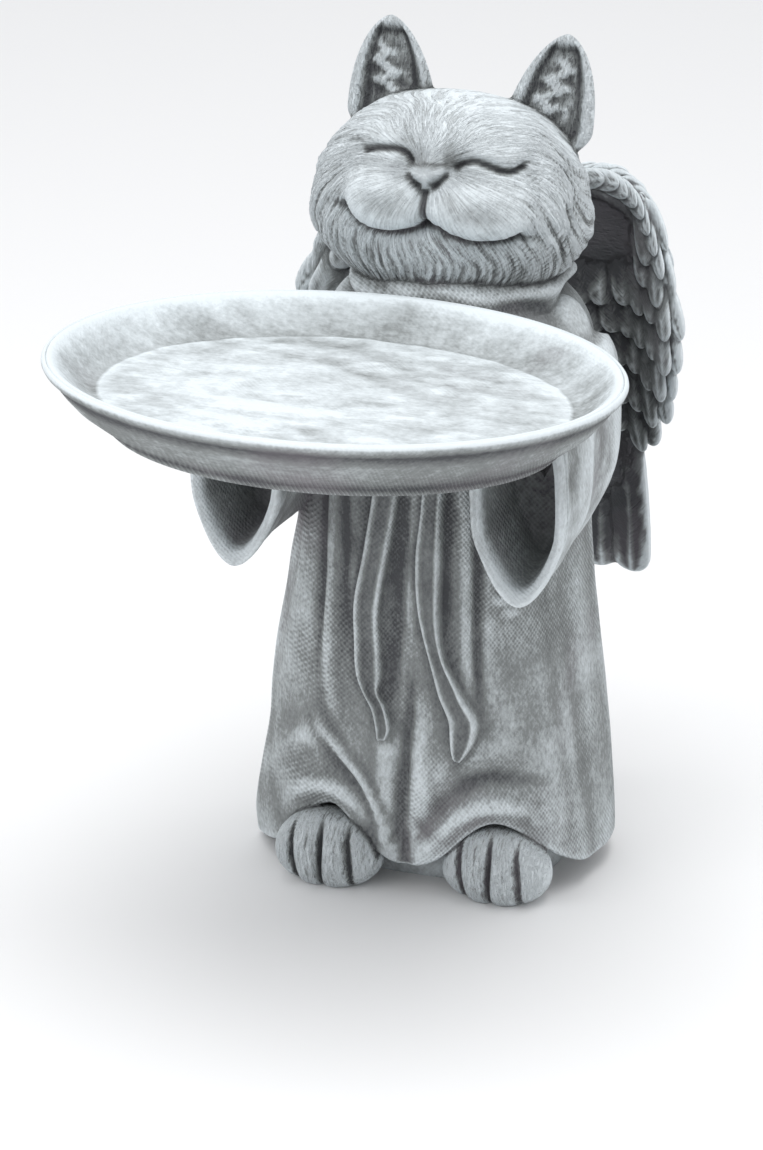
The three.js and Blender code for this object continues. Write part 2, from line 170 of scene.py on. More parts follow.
def near_line(x, y, line):
    """Distance of points from a drawn line, and how far along the line from 0 to 1."""
    line = rounded_line(line)
    best = np.full(np.shape(x), 1e9)
    share = np.zeros(np.shape(x))
    count = len(line) - 1
    for i in range(count):
        (ax, ay), (bx, by) = line[i], line[i + 1]
        dx, dy = bx - ax, by - ay
        t = np.clip(((x - ax) * dx + (y - ay) * dy) / (dx * dx + dy * dy), 0, 1)
        distance = np.hypot(x - ax - t * dx, y - ay - t * dy)
        closer = distance < best
        best = np.where(closer, distance, best)
        share = np.where(closer, (i + t) / count, share)
    return best, share


def circle(count, crowding=0.0):
    """Angles around a full turn, which crowding draws together at the front."""
    angles = np.arange(count) / count * 2 * math.pi
    return angles - crowding * np.sin(angles)


def grain_of(grain, grid, place):
    """Grain coordinates: none, three densities, or a function of the place on the form."""
    if callable(grain):
        return stacked(grain(*place, grid))
    return None if grain is None else grid * grain


class Piece:
    """Closed triangles of one form, with what its surface is like."""

    # How light it is painted, from wear and from painted light and shade, how much its grain shows, how
    # soft its joins are, and its hatching
    bright = 0.0
    coat = 1.0
    rounding = 0.0
    hatching = 0.0

    def __init__(self, grid, start, end, kind, grain=None):
        rows, around = grid.shape[:2]
        self.points = np.vstack([grid.reshape(-1, 3), start, end])
        first = rows * around
        turn = np.arange(around)
        following = (turn + 1) % around
        row = np.arange(rows - 1)[:, None] * around
        a, b = row + turn, row + following
        c, d = b + around, a + around
        sides = [np.stack([a, b, c], -1).reshape(-1, 3), np.stack([a, c, d], -1).reshape(-1, 3)]
        last = first - around
        bottom = np.stack([np.full(around, first), following, turn], -1)
        top = np.stack([np.full(around, first + 1), last + turn, last + following], -1)
        self.faces = np.concatenate([*sides, bottom, top])
        corner = self.points[self.faces]
        volume = (corner[:, 0] * np.cross(corner[:, 1], corner[:, 2])).sum()
        # Forward is -Y in Blender, which mirrors the piece, so its faces must point inwards here
        if volume > 0:
            self.faces = self.faces[:, ::-1]
        self.kind = kind
        if grain is None:
            self.grain = self.points / 2
        else:
            flat = grain.reshape(-1, 3)
            self.grain = np.vstack([flat, flat[0], flat[-1]])

    # Sets how light the piece is painted, which holds both wear and painted light and shade
    def worn(self, bright, coat=1.0, rounding=0.0):
        self.bright = bright
        self.coat = coat
        self.rounding = rounding
        return self

    def shown(self, name):
        """The piece as a Blender object."""
        mesh = bpy.data.meshes.new(name)
        mesh.from_pydata((self.points * PLACED).tolist(), [], self.faces.tolist())
        mesh.update()
        made = bpy.data.objects.new(name, mesh)
        bpy.context.scene.collection.objects.link(made)
        return made


def ball_places(angles, rises):
    """Unit vectors over a ball, to the side, forward and up."""
    turn, lift = np.meshgrid(angles, (np.arange(1, rises) / rises - 0.5) * math.pi)
    return np.sin(turn) * np.cos(lift), np.cos(turn) * np.cos(lift), np.sin(lift)


def ball(angles, rises, form, kind, grain=None):
    """A closed form of the unit vector to the side, forward and up."""
    place = ball_places(angles, rises)
    grid = stacked(form(*place))
    zero = np.zeros(1)
    start, end = (stacked(form(zero, zero, zero + pole)) for pole in (-1, 1))
    return Piece(grid, start, end, kind, grain_of(grain, grid, place))


def tube(angles, rows, form, kind, grain=None):
    """A closed tube: a form of the angle from the front and the row value."""
    place = np.meshgrid(np.arctan2(np.sin(angles), np.cos(angles)), rows)
    grid = stacked(form(*place))
    start, end = grid[0].mean(0)[None], grid[-1].mean(0)[None]
    return Piece(grid, start, end, kind, grain_of(grain, grid, place))


# Robe: height, half width, half depth, sideways centre, forward centre
ROBE = [
    (0, 54, 36, -6.5, 0),
    (12, 54.5, 37, -6.5, 0),
    (40, 51, 37, -5.5, 0.5),
    (70, 47.5, 36.5, -5, 2),
    (100, 43.5, 36.5, -3.5, 3),
    (128, 41.5, 39, -1.5, 3),
    (150, 41, 42, 0, 3),
    (164, 39, 44, 0, 3),
    (172, 34, 39, 0, 0),
    (180, 27, 30, 0, -2),
    (190, 20, 20, 0, -6),
]
ROBE_TOP = 190
ROBE_SQUARENESS = 0.86
HEM_LIFT = 7
HEM_ARCH = 25
FOOT_SPREAD = 25.5
WAIST = 130


def hem_height(x, forward):
    """The hem arches over both feet, dips between them and comes down at the sides."""
    side = HEM_LIFT * smoothstep(x, -50, 30)
    arches = np.minimum(1, bump(x - FOOT_SPREAD, 14) + bump(x + FOOT_SPREAD + 1, 15))
    front = smoothstep(forward, 4, 24)
    return mix(side, mix(side + 3, HEM_ARCH, arches), front)


# Pleats of the sides and back: angle at the hem, angle at the waist, depth, width
PLEATS = [
    (1.0, 0.88, 0.6, 0.14),
    (1.22, 1.06, -0.6, 0.1),
    (1.5, 1.25, -1.8, 0.16),
    (-1.3, -1.1, 0.8, 0.1),
    (-1.5, -1.25, -1.6, 0.16),
    (2.1, 1.9, 2, 0.2),
    (-2.1, -1.9, 2, 0.2),
    (2.6, 2.4, -2, 0.16),
    (-2.6, -2.4, -2, 0.16),
    (3.1, 3.1, 1.6, 0.16),
]

# Folds of the front, each from its strong end to its faint end: width, height, line across and up
FOLDS = [
    (2.6, -2.0, [(-26.5, 130), (-28, 105), (-29.5, 85), (-31, 60)]),
    (3.0, 1.3, [(-23.0, 130), (-25.6, 95), (-25.3, 66), (-24, 46)]),
    (4.0, 1.0, [(-33, 130), (-37, 95), (-42, 62), (-47, 30)]),
    (2.0, -0.5, [(-36, 128), (-39, 100), (-43, 75)]),
    (2.0, -0.8, [(-19, 126), (-19.5, 100), (-20, 78)]),
    (3.2, -1.7, [(-0.5, 130), (-3, 95), (-5.5, 72), (-3, 50)]),
    (2.2, 0.6, [(3.0, 122), (1.0, 98), (3, 70)]),
    (2.4, -1.5, [(13, 130), (11, 100), (11.5, 76)]),
    (2.2, 1.6, [(18.3, 132), (17.8, 100), (17.6, 72), (18.5, 52)]),
    (2.2, -2.1, [(21.6, 130), (20.6, 105), (20.2, 80), (22, 52)]),
    (2.3, -1.9, [(-1.5, 9), (-2.5, 24), (-1.2, 45), (0.5, 62), (1, 78)]),
    (3.2, 1.1, [(4.5, 26), (3.5, 46), (7, 70)]),
    (3.0, 0.8, [(-7.5, 30), (-7.5, 48), (-6, 64)]),
    (1.8, 1.8, [(-5.5, 15), (-10, 26.6), (-16.3, 36.9), (-25.9, 46.9), (-33, 56)]),
    (3.6, -1.5, [(-9.5, 20), (-15, 29), (-21, 36), (-30, 41.5)]),
    (4.4, 1.4, [(-31, 47), (-41, 40), (-50, 28), (-56, 14)]),
    (3.8, -2.1, [(3.7, 20), (10.5, 30), (18, 37.5), (26.8, 39.7), (35.9, 37.2), (41, 29.3)]),
    (4.4, 1.0, [(3, 33), (10, 43), (19, 49), (30, 50), (42, 44)]),
    (3.0, 1.6, [(-5, 13), (-11, 22), (-18, 28), (-27, 30), (-38, 26), (-49, 13)]),
    (3.0, 1.8, [(4, 15), (12, 24.5), (19, 29.5), (27, 30.5), (35, 28), (40, 20)]),
]

# Crumbs of stone left on the cloth: across, up, width, height
CRUMBS = [(26, 96, 1.7, 1.4), (28.5, 92.5, 2, 0.84)]


def cloth_relief(angle, x, height):
    """How far the robe's cloth stands out of its plain form."""
    down = smoothstep(150 - height, 20, 90)
    relief = -2 * bump(height - WAIST - 6, 5)
    for hem, top, depth, width in PLEATS:
        course = mix(hem, top, np.minimum(1, height / WAIST))
        gap = np.abs(angle - course)
        gap = np.minimum(gap, 2 * math.pi - gap)
        relief = relief + depth * bump(gap, width) * down
    front = smoothstep(np.cos(angle), 0.1, 0.45)
    for width, depth, line in FOLDS:
        distance, share = near_line(x, height, line)
        fade = smoothstep(1 - share, 0, 0.45) * smoothstep(share, -0.06, 0.04)
        relief = relief + depth * bump(distance, width) * fade * front
    wear = noise(x / 9, angle * 4, height / 14, 3)
    for crumb_x, crumb_height, width, size in CRUMBS:
        relief = relief + size * bump(np.hypot(x - crumb_x, height - crumb_height), width) * front
    return relief + 0.5 * wear


def robe_point(angle, height, inset=0.0):
    half_width = along(ROBE, 1, height) - inset
    half_depth = along(ROBE, 2, height) - inset
    x = along(ROBE, 3, height) + half_width * squared(np.sin(angle), ROBE_SQUARENESS)
    forward = along(ROBE, 4, height) + half_depth * squared(np.cos(angle), ROBE_SQUARENESS)
    relief = cloth_relief(angle, x, height)
    return x + relief * np.sin(angle), forward + relief * np.cos(angle)


def robe_front(x, height):
    """How far forward the robe's front lies at a place across it."""
    across = np.clip((x - along(ROBE, 3, height)) / along(ROBE, 1, height), -0.98, 0.98)
    return robe_point(np.arcsin(squared(across, 1 / ROBE_SQUARENESS)), height)[1]


# The hem's rolled edge: height above the edge and inset
HEM_ROLL = [(12, 7), (5, 4.6), (1.6, 3.6), (0.1, 2.4), (-0.1, 1.2)]


def robe():
    def form(angle, up):
        hem_x, hem_forward = robe_point(angle, np.zeros_like(angle))
        edge = hem_height(hem_x, hem_forward)
        height = mix(edge, ROBE_TOP, np.maximum(0, up) ** 1.1)
        row = np.clip(np.round(-up - 1).astype(int), 0, len(HEM_ROLL) - 1)
        roll = np.array(HEM_ROLL)[::-1]
        lift = np.where(up < 0, roll[row, 0], 0.7 * (1 - smoothstep(up, 0, 0.012)))
        inset = np.where(up < 0, roll[row, 1], 0)
        x, forward = robe_point(angle, height, inset)
        return x, forward, height + lift

    rows = np.concatenate([-np.arange(len(HEM_ROLL), 0, -1.0), np.linspace(0, 1, 104)])
    # The robe is painted a little darker, partly its own tone and partly painted shade under the dish
    return tube(circle(192, 0.28), rows, form, CLOTH, CLOTH_GRAIN).worn(BRIGHT_ROBE_WITH_PAINTED_SHADE)


BASE_HALF_WIDTH = 41
BASE_HALF_DEPTH = 25
BASE_HEIGHT = 30
BASE_PLACE = (-8, -3)


def under_base():
    """The plain stone between and behind the feet."""

    def form(angle, up):
        x = BASE_PLACE[0] + BASE_HALF_WIDTH * squared(np.sin(angle), ROBE_SQUARENESS)
        forward = BASE_PLACE[1] + BASE_HALF_DEPTH * squared(np.cos(angle), ROBE_SQUARENESS)
        return x, forward, up * BASE_HEIGHT

    # Painted a little darker like the robe, partly its own tone and partly painted shade
    return tube(circle(48), np.linspace(0, 1, 9), form, PLAIN).worn(BRIGHT_ROBE_WITH_PAINTED_SHADE)


PAW_HALF_WIDTH = 16.5
PAW_LENGTH = 11
PAW_HEIGHT = 23
PAW_FRONTS = {-1: 45, 1: 38.5}
TOE_GROOVES = (-8.5, 0.5, 9)


def foot(side):
    front = PAW_FRONTS[side]

    def form(x, forward, up):
        across = x * PAW_HALF_WIDTH * (1 - 0.12 * up)
        reach = front - PAW_LENGTH + PAW_LENGTH * squared(forward, 0.8)
        face = np.maximum(0, forward) * np.clip(1.15 - 0.6 * up, 0, 1)
        for groove in TOE_GROOVES:
            gap = across - groove - 0.4 * np.sin(up * 3 + groove)
            reach = reach - (2.2 * bump(gap, 0.9) + 1.3 * bump(gap, 2.6)) * face
        reach = reach + 1.0 * face + 0.35 * noise(across * 1.6, up * 1.5, 0 * up, 5) * face
        height = PAW_HEIGHT * 0.5 * (1 + 1.12 * squared(up, 0.9)) * (0.94 + 0.06 * forward)
        return side * FOOT_SPREAD - 1 + across, reach, np.maximum(0, height)

    # The feet are painted a little darker, partly their own tone and partly painted shade under the hem
    return ball(circle(84, 0.45), 32, form, FUR, PAW_GRAIN).worn(BRIGHT_FEET_WITH_PAINTED_SHADE)


# Sleeve: how far forward, lowest point, half width, sideways centre
SLEEVE = [
    (-16, 128, 7, 37),
    (-4, 118, 10, 38.5),
    (20, 113, 12, 40),
    (45, 111, 13, 41.5),
    (65, 108.5, 13.5, 42),
]
SLEEVE_FRONT = 65
SLEEVE_BACK = -16
DISH_BOTTOM = DISH_RIM - DISH_WALL
DISH_OVERLAP = 2.5
CUFF_WALL = 2.2
CUFF_DEPTH = 26


def sleeve_point(side, angle, forward, top, inset):
    """A section that is broad under the dish and hangs to a point, where the angle is 0."""
    tip = along(SLEEVE, 1, forward) + inset * 1.6
    half_width = along(SLEEVE, 2, forward) - inset
    centre = along(SLEEVE, 3, forward)
    high = np.abs(angle) > 0.5 * math.pi
    raised = (1 - squared(np.cos(angle), np.where(high, 0.6, 1))) / 2
    swing = squared(np.sin(angle), np.where(high, 0.6, 1))
    width = half_width * swing * np.minimum(1, 0.78 + 0.7 * raised)
    return side * (centre + 1.5 * (1 - raised)) + width, forward, mix(tip, top, raised)


def sleeve(side):
    def form(angle, forward):
        x, reach, up = sleeve_point(side, angle, forward, DISH_BOTTOM + DISH_OVERLAP, 0)
        outer = np.maximum(0, np.sin(angle) * side)
        drape = np.sin((forward - 40) / 6 + 2.2 * (up - 110) / 50) * smoothstep(60 - forward, 0, 14)
        crease = bump(forward - SLEEVE_FRONT + 5.5, 0.8)
        rim = bump(forward - SLEEVE_FRONT + 2.4, 2.4)
        out = outer * (0.9 * drape - 2.4 * crease) + 0.4 * noise(x / 6, forward / 6, up / 8, 9)
        across = x + side * out * 0.9 + 0.7 * rim * np.sin(angle)
        return across, reach, up + 0.3 * drape - 0.5 * rim * np.cos(angle)

    rim_start = SLEEVE_FRONT - 10
    rim_rows = np.linspace(rim_start + 0.8, SLEEVE_FRONT, 14)
    rows = np.append(np.linspace(SLEEVE_BACK, rim_start, 29), rim_rows)
    return tube(circle(72), rows, form, CLOTH, CLOTH_GRAIN).worn(BRIGHT_ARMS, 0.5, 1.0)


def cuff_hollow(side):
    """What is cut out of a sleeve's mouth; its last row lies in front of the mouth."""

    def form(angle, out):
        inside = np.minimum(1, out)
        forward = mix(SLEEVE_FRONT - CUFF_DEPTH, SLEEVE_FRONT, inside)
        inset = CUFF_WALL * mix(1.9, 1, inside)
        x, reach, up = sleeve_point(side, angle, forward, DISH_BOTTOM - 0.5 * CUFF_WALL, inset)
        return x, reach + (out - inside) * 2 * CUFF_WALL, up

    # The hollow of the sleeve's mouth is painted lighter, as painted light against the shade inside it
    return tube(circle(56), np.append(np.linspace(0, 1, 14), 2), form, CLOTH).worn(BRIGHT_CUFFS_PAINTED_LIGHT, 0.4)


FOREARM_HALF_WIDTH = 9.5
FOREARM_SPREAD = 41
FOREARM_FRONT = 74
FOREARM_BACK = 2


def forearm(side):
    """The foreleg in the sleeve, which carries the dish."""

    def form(x, forward, up):
        reach = mix(FOREARM_BACK, FOREARM_FRONT, (forward + 1) / 2)
        rise = DISH_BOTTOM - FOREARM_HALF_WIDTH + DISH_OVERLAP + 2 * forward
        return side * FOREARM_SPREAD + x * FOREARM_HALF_WIDTH, reach, rise + up * FOREARM_HALF_WIDTH

    return ball(circle(32), 24, form, FUR, FOREARM_GRAIN)


ARM_HALF_WIDTH = 12
ARM_HALF_DEPTH = 17
ELBOW = (35, 4, 111)
SHOULDER = (31, -2, 179)


def upper_arm(side):
    def form(x, forward, up):
        raised = (up + 1) / 2
        fold = 0.9 * np.sin(up * 9 + forward * 4 + side) * (1 - up * up)
        across = mix(ELBOW[0], SHOULDER[0], raised) + (ARM_HALF_WIDTH + fold) * x
        reach = mix(ELBOW[1], SHOULDER[1], raised) + (ARM_HALF_DEPTH + fold) * forward
        return side * across, reach, mix(ELBOW[2], SHOULDER[2], raised)

    return ball(circle(48), 40, form, CLOTH, CLOTH_GRAIN).worn(BRIGHT_ARMS, 0.6, 1.0)


# The dish's course: shares of the foot's inset and the wall's height, then inset and depth in
# millimetres over the rounded edge and through the groove, then shares of the slope and the well
DISH_OUTSIDE = [
    (1.6, 1),
    (1.04, 1),
    (0.98, 0.985),
    (0.93, 0.94),
    (0.86, 0.86),
    (0.64, 0.71),
    (0.42, 0.55),
    (0.26, 0.38),
    (0.12, 0.2),
]
DISH_EDGE = [(0.4, 2.3), (0, 1.4), (0.1, 0.7), (0.5, 0.15), (0.9, 0)]
DISH_GROOVE = [(1.05, 0.02), (1.3, 0.7), (1.55, 0.04), (1.8, 0)]
DISH_INSIDE = [
    (0.12, 0.19),
    (0.24, 0.35),
    (0.42, 0.57),
    (0.6, 0.76),
    (0.78, 0.91),
    (0.9, 0.985),
    (1.0, 1.012),
    (1.1, 1.0),
]
WALL_ROWS = 11
INSIDE_ROW = 18
FLOOR_ROWS = 14
DISH_SIDES = 200


def dish_profile():
    """Distance in from the outer edge and height, from under the foot over the rim to the well."""
    outside = [(DISH_FOOT * a, DISH_WALL * b) for a, b in DISH_OUTSIDE]
    lip = [(DISH_RIM_WIDTH - 0.6, 0.08), (DISH_RIM_WIDTH, 0.45), (DISH_RIM_WIDTH + 0.5, 0.9)]
    well = [(DISH_RIM_WIDTH + WELL_SLOPE * a, WELL_DEPTH * b) for a, b in DISH_INSIDE]
    floor = [(DISH_HALF_WIDTH * t, WELL_DEPTH) for t in np.linspace(0.3, 0.97, FLOOR_ROWS)]
    return np.array(outside + DISH_EDGE + DISH_GROOVE + lip + well + floor)


def dish():
    profile = dish_profile()

    def form(angle, row):
        inset = profile[row.astype(int), 0]
        down = profile[row.astype(int), 1]
        across = np.sin(angle) * (DISH_HALF_LENGTH - np.minimum(inset * 1.05, DISH_HALF_LENGTH - 4))
        deep = np.cos(angle) * (DISH_HALF_WIDTH - np.minimum(inset * 0.95, DISH_HALF_WIDTH - 2))
        worn = 0.25 * noise(across / 13, deep / 7, 0, 21) + 0.12 * noise(across / 5, deep / 3, 0, 22)
        inside = smoothstep(inset, 2, 6) * (row >= INSIDE_ROW)
        return across, DISH_CENTRE + deep, DISH_RIM - down + worn * inside

    rows = np.arange(len(profile))
    made = tube(circle(DISH_SIDES), rows, form, PLAIN, DISH_GRAIN)
    # The rows' values for every point, and for the centres that close the first and the last row
    row = np.append(np.repeat(rows, DISH_SIDES), [rows[0], rows[-1]])
    on_wall = row < WALL_ROWS
    on_floor = row >= len(rows) - FLOOR_ROWS - 1
    # The well's slope and floor are painted lighter, partly dry brushing and partly painted top light; the
    # outer wall under the rim is painted darker as painted shade
    made.bright = np.select([on_wall, on_floor], [BRIGHT_WALL_PAINTED_SHADE, BRIGHT_DISH_WITH_PAINTED_LIGHT], BRIGHT_SLOPE_WITH_PAINTED_LIGHT)
    low = smoothstep(DISH_RIM - made.points[:, 2], 0.45 * DISH_WALL, 0.8 * DISH_WALL)
    made.hatching = on_wall * low
    return made


COLLAR_LOW = 173
COLLAR_HIGH = 192
COLLAR_HALF = (26, 21)
COLLAR_ROLL = (6.5, 9)


def collar():
    """A band of folded cloth around the neck."""

    def form(angle, up):
        roll = np.sin(up * math.pi)
        pleat = 1.0 * np.sin(angle * 9 + up * 5) + 0.9 * np.sin(up * 15 + angle * 3 + 1)
        x = (COLLAR_HALF[0] + COLLAR_ROLL[0] * roll + pleat * roll) * np.sin(angle)
        forward = (COLLAR_HALF[1] + COLLAR_ROLL[1] * roll + pleat * roll) * np.cos(angle) - 2
        return x, forward, mix(COLLAR_LOW, COLLAR_HIGH, up) - 4 * np.cos(angle)

    return tube(circle(120), np.linspace(0, 1, 22), form, CLOTH, COLLAR_GRAIN).worn(BRIGHT_COLLAR)


# Ribbons: height, sideways centre, half width, in the order from the hem to the waist
LEFT_RIBBON = [
    (50, -7.4, 1.0),
    (54, -7.0, 2.0),
    (60, -8.4, 2.1),
    (65, -10.8, 2.4),
    (70, -11.6, 3.7),
    (78, -12, 4.1),
    (92, -12, 4),
    (110, -8.5, 3.8),
    (132, -4.5, 3.8),
]
RIGHT_RIBBON = [
    (46, 15.6, 0.8),
    (49, 16.2, 2.4),
    (53, 16.8, 3.6),
    (59, 16.8, 4.1),
    (67, 13.4, 3.9),
    (78, 9.6, 2.6),
    (92, 7.2, 3.1),
    (109, 7.4, 3.8),
    (124, 8.7, 3.1),
    (132, 9.5, 3.1),
]


def ribbon(stations, twist):
    """A strip that lies on the robe, with the edge on the side of twist rolled forward."""
    low, high = stations[0][0], stations[-1][0]

    def form(angle, up):
        height = mix(low, high, up)
        half_width = along(stations, 2, height)
        across = squared(np.sin(angle), 0.7)
        x = along(stations, 1, height) + across * half_width
        rolled = bump(across - twist, 0.35)
        hem = bump(across + twist, 0.3)
        top = 1.7 + 2.3 * rolled + 1.1 * hem + 0.3 * np.sin(height / 7)
        proud = np.where(np.cos(angle) > 0, top * np.abs(np.cos(angle)) ** 0.3, -4)
        proud = np.where(np.abs(np.cos(angle)) < 0.02, 0.8, proud)
        return x, robe_front(x, height) + proud, height

    return tube(circle(28), np.linspace(0, 1, 66), form, CLOTH, CLOTH_GRAIN).worn(BRIGHT_RIBBONS, 0.45)


HEAD_CENTRE = (-1.5, 0.5, 207)
HEAD_HALF = (38.3, 26, 29.5)
HEAD_ROLL = math.radians(3)
HEAD_TURN = math.radians(9)


def on_head(x, forward, up):
    """Turns and rolls points of the head, given from its centre, into the figure."""
    rolled_x = x * math.cos(HEAD_ROLL) + up * math.sin(HEAD_ROLL)
    rolled_up = up * math.cos(HEAD_ROLL) - x * math.sin(HEAD_ROLL)
    turned_x = rolled_x * math.cos(HEAD_TURN) + forward * math.sin(HEAD_TURN)
    turned_forward = forward * math.cos(HEAD_TURN) - rolled_x * math.sin(HEAD_TURN)
    return HEAD_CENTRE[0] + turned_x, HEAD_CENTRE[1] + turned_forward, HEAD_CENTRE[2] + rolled_up


# Domes of the face: across, up, half width, half height, how far they stand out
PADS = [(-13.0, 2.6, 12.2, 9.6, 6.4), (12.6, 2.2, 13.6, 9.6, 6.4)]
LIDS = [
    (-15.0, 21.0, 10, 5.0, 2.2),
    (15.5, 20.0, 10, 4.6, 3.2),
    (-15.5, 11.0, 12, 5.5, 1.0),
    (16.0, 11.0, 12, 5.5, 1.0),
]
BROW_CHIN_AND_CHEEKS = [
    (-2.4, 21, 6.5, 13, 2.0),
    (-2.3, -12.5, 13, 8.0, 1.2),
    (-28.0, -3.0, 10, 15, 1.6),
    (28.0, -3.0, 10, 15, 1.6),
    (-8.0, 17.5, 4, 5, -1.6),
    (4.5, 17.5, 4, 5, -1.6),
]

# Raised lines of the nose: width, height, line across and up
NOSE = [
    (2.0, 2.2, [(-5.4, 12.4), (-2.4, 12.0), (1.2, 13.0)]),
    (1.9, 2.0, [(-2.3, 12.4), (-2.1, 9.2)]),
]

# Grooves of the face: width, depth, line across and up
EYE_LEFT = [(-21.8, 15.4), (-18.9, 16.5), (-16.1, 16.9), (-12.8, 17.3), (-10, 16.7), (-7.9, 14.9)]
EYE_RIGHT = [(5.8, 14.5), (7.6, 15.7), (10.4, 16.5), (14.1, 15.7), (17.5, 14.5), (20.8, 14.2), (23.5, 15.5)]
LIP = (-1.9, -1.9)
MOUTH_LEFT = [(-24.6, 0.4), (-22.4, -2.6), (-20.1, -4.5), (-17, -5.7), (-10.9, -5.6), (-4.7, -3.7), LIP]
MOUTH_RIGHT = [LIP, (2.1, -2.8), (5.1, -4.4), (11.5, -5.8), (15.2, -5.5), (19.3, -5), (23.9, -2.8)]
GROOVES = [
    (0.95, 2.2, EYE_LEFT),
    (0.95, 2.3, EYE_RIGHT),
    (2.4, 0.7, EYE_LEFT),
    (2.4, 0.8, EYE_RIGHT),
    (1.0, 2.4, MOUTH_LEFT),
    (1.0, 2.4, MOUTH_RIGHT),
    (2.6, 0.9, MOUTH_LEFT),
    (2.6, 0.9, MOUTH_RIGHT),
    (0.9, 1.6, [(-2.1, 7.8), (-2.2, 3), LIP]),
    (2.2, 1.3, [(-2.1, 7.0), (-2.2, 3), LIP]),
    (1.0, 2.0, [(-6.8, 11.2), (-5.2, 9.8), (-3.8, 9.4)]),
    (1.0, 2.0, [(2.8, 12.0), (1.2, 10.2), (-0.3, 9.4)]),
    (0.8, 1.2, [(-4.6, 9.2), (-2.1, 7.4), (0.4, 9.2)]),
    (0.6, 0.5, [(-6.9, 13.9), (-2.6, 14.6), (2.4, 14.9)]),
]
MOUTH = MOUTH_LEFT + MOUTH_RIGHT[1:]


def oval(x, up, dome):
    """Squared distance from a dome's centre, which is 1 on its outline."""
    return ((x - dome[0]) / dome[2]) ** 2 + ((up - dome[1]) / dome[3]) ** 2


def face_relief(x, up):
    """How far a point of the face stands out of the plain head, and how smooth it is there."""
    relief = np.zeros(np.shape(x))
    bare = np.zeros(np.shape(x))
    for dome in LIDS + BROW_CHIN_AND_CHEEKS:
        relief = relief + dome[4] * np.exp(-(oval(x, up, dome) ** 1.4))
    mouth_x, mouth_up = np.array(MOUTH).T
    above = up - np.interp(x, mouth_x, mouth_up)
    lip = smoothstep(above, -1.2, 1.6)
    for pad in PADS:
        rho = oval(x, up, pad)
        relief = relief + pad[4] * np.exp(-(rho**1.6)) * lip
        bare = np.maximum(bare, smoothstep(1.1 - rho, 0, 0.5) * lip)
    for lid in LIDS:
        bare = np.maximum(bare, 0.8 * smoothstep(0.9 - oval(x, up + 3, lid), 0, 0.4))
    for width, height, line in NOSE:
        distance = near_line(x, up, line)[0]
        relief = relief + height * bump(distance, width)
        bare = np.maximum(bare, bump(distance, 3.5))
    for width, depth, line in GROOVES:
        relief = relief - depth * bump(near_line(x, up, line)[0], width)
    return relief, bare


# Where the fur parts, at the bridge of the nose, and two directions square to it
WHORL = unit([-0.06, 0.88, 0.42])
WHORL_SIDE = unit(np.cross(WHORL, [0, 0, 1.0]))
WHORL_UP = np.cross(WHORL_SIDE, WHORL)


def fur_flow(side, forward, up):
    """Coordinates of the fur, which grows out from the bridge of the nose all over the head."""
    direction = stacked((side, forward, up))
    away = np.arccos(np.clip(direction @ WHORL, -1, 1))
    a, b = direction @ WHORL_SIDE, direction @ WHORL_UP
    length = np.maximum(1e-6, np.hypot(a, b))
    sway = 0.12 * noise(side * 2.2, forward * 2.2, up * 2.2, 31)
    droop = 0.7 * (a / length) * smoothstep(away, 0.4, 1.7)
    turn = np.arctan2(b, a) + sway + droop
    keep = np.where(length > 1e-5, 1.0, 0.0)
    return np.cos(turn) * keep, np.sin(turn) * keep, away


def face_place(dx, dz):
    """Where a direction from the head's centre meets the face, across and up."""
    jowl = 1 + 0.1 * bump(dz + 0.35, 0.4)
    up = HEAD_HALF[2] * squared(dz, 0.92) * np.where(dz > 0, 0.97, 1.05)
    return HEAD_HALF[0] * squared(dx, 0.88) * jowl, up


def on_front(df):
    return np.clip(df * 2.2, 0, 1)


RUFF_HEIGHT = 1.2


def fur_relief(a, b, away, dz, bare):
    """Locks of fur, and the pointed ruff that they end in around the upper face."""
    locks = 0.4 * noise(a * 11, b * 11, away * 3, 33) + 0.75 * noise(a * 28, b * 28, away * 4, 34)
    furry = (1 - bare) * smoothstep(away, 0.12, 0.5) * mix(0.5, 0.9, smoothstep(away, 0.75, 1.3))
    points = np.abs(np.sin(np.arctan2(b, a) * 9 + noise(a * 5, b * 5, 0 * away, 35)))
    ruff = smoothstep(away, 0.7, 1.08) * (1 - smoothstep(away - 0.16 * points, 1.05, 1.12))
    return furry * locks + RUFF_HEIGHT * ruff * smoothstep(dz, -0.4, 0.05)


def head():
    def form(dx, df, dz):
        level = np.hypot(dx, df)
        x, up = face_place(dx, dz)
        forward = HEAD_HALF[1] * squared(df, 0.8) * np.where(df > 0, 1, 1.15)
        relief, bare = face_relief(x, up)
        front = on_front(df)
        out = relief * front + fur_relief(*fur_flow(dx, df, dz), dz, bare * front)
        return on_head(x + out * dx * 0.9, forward + out * df, up + 0.35 * out * dz * level)

    def grain(dx, df, dz, grid):
        a, b, away = fur_flow(dx, df, dz)
        return a * 36, b * 36, away * 5

    angles, rises = circle(192, 0.5), 110
    dx, df, dz = ball_places(angles, rises)
    bare = 0.75 * face_relief(*face_place(dx, dz))[1] * on_front(df)
    bare = np.append(bare.ravel(), [0, 0])
    made = ball(angles, rises, form, FUR, grain)
    # The head is painted lighter, partly for its dry brushing and partly as painted top light
    return made.worn(BRIGHT_HEAD_WITH_PAINTED_LIGHT + BRIGHT_PADS * bare, 1 - bare)


EAR_HALF_WIDTH = 13.6
EAR_FOOT = (22, -8, 12)
EAR_TIP = (26, -16, 45.8)
EAR_SHIFT = 1.8
EAR_THICKNESS = 7


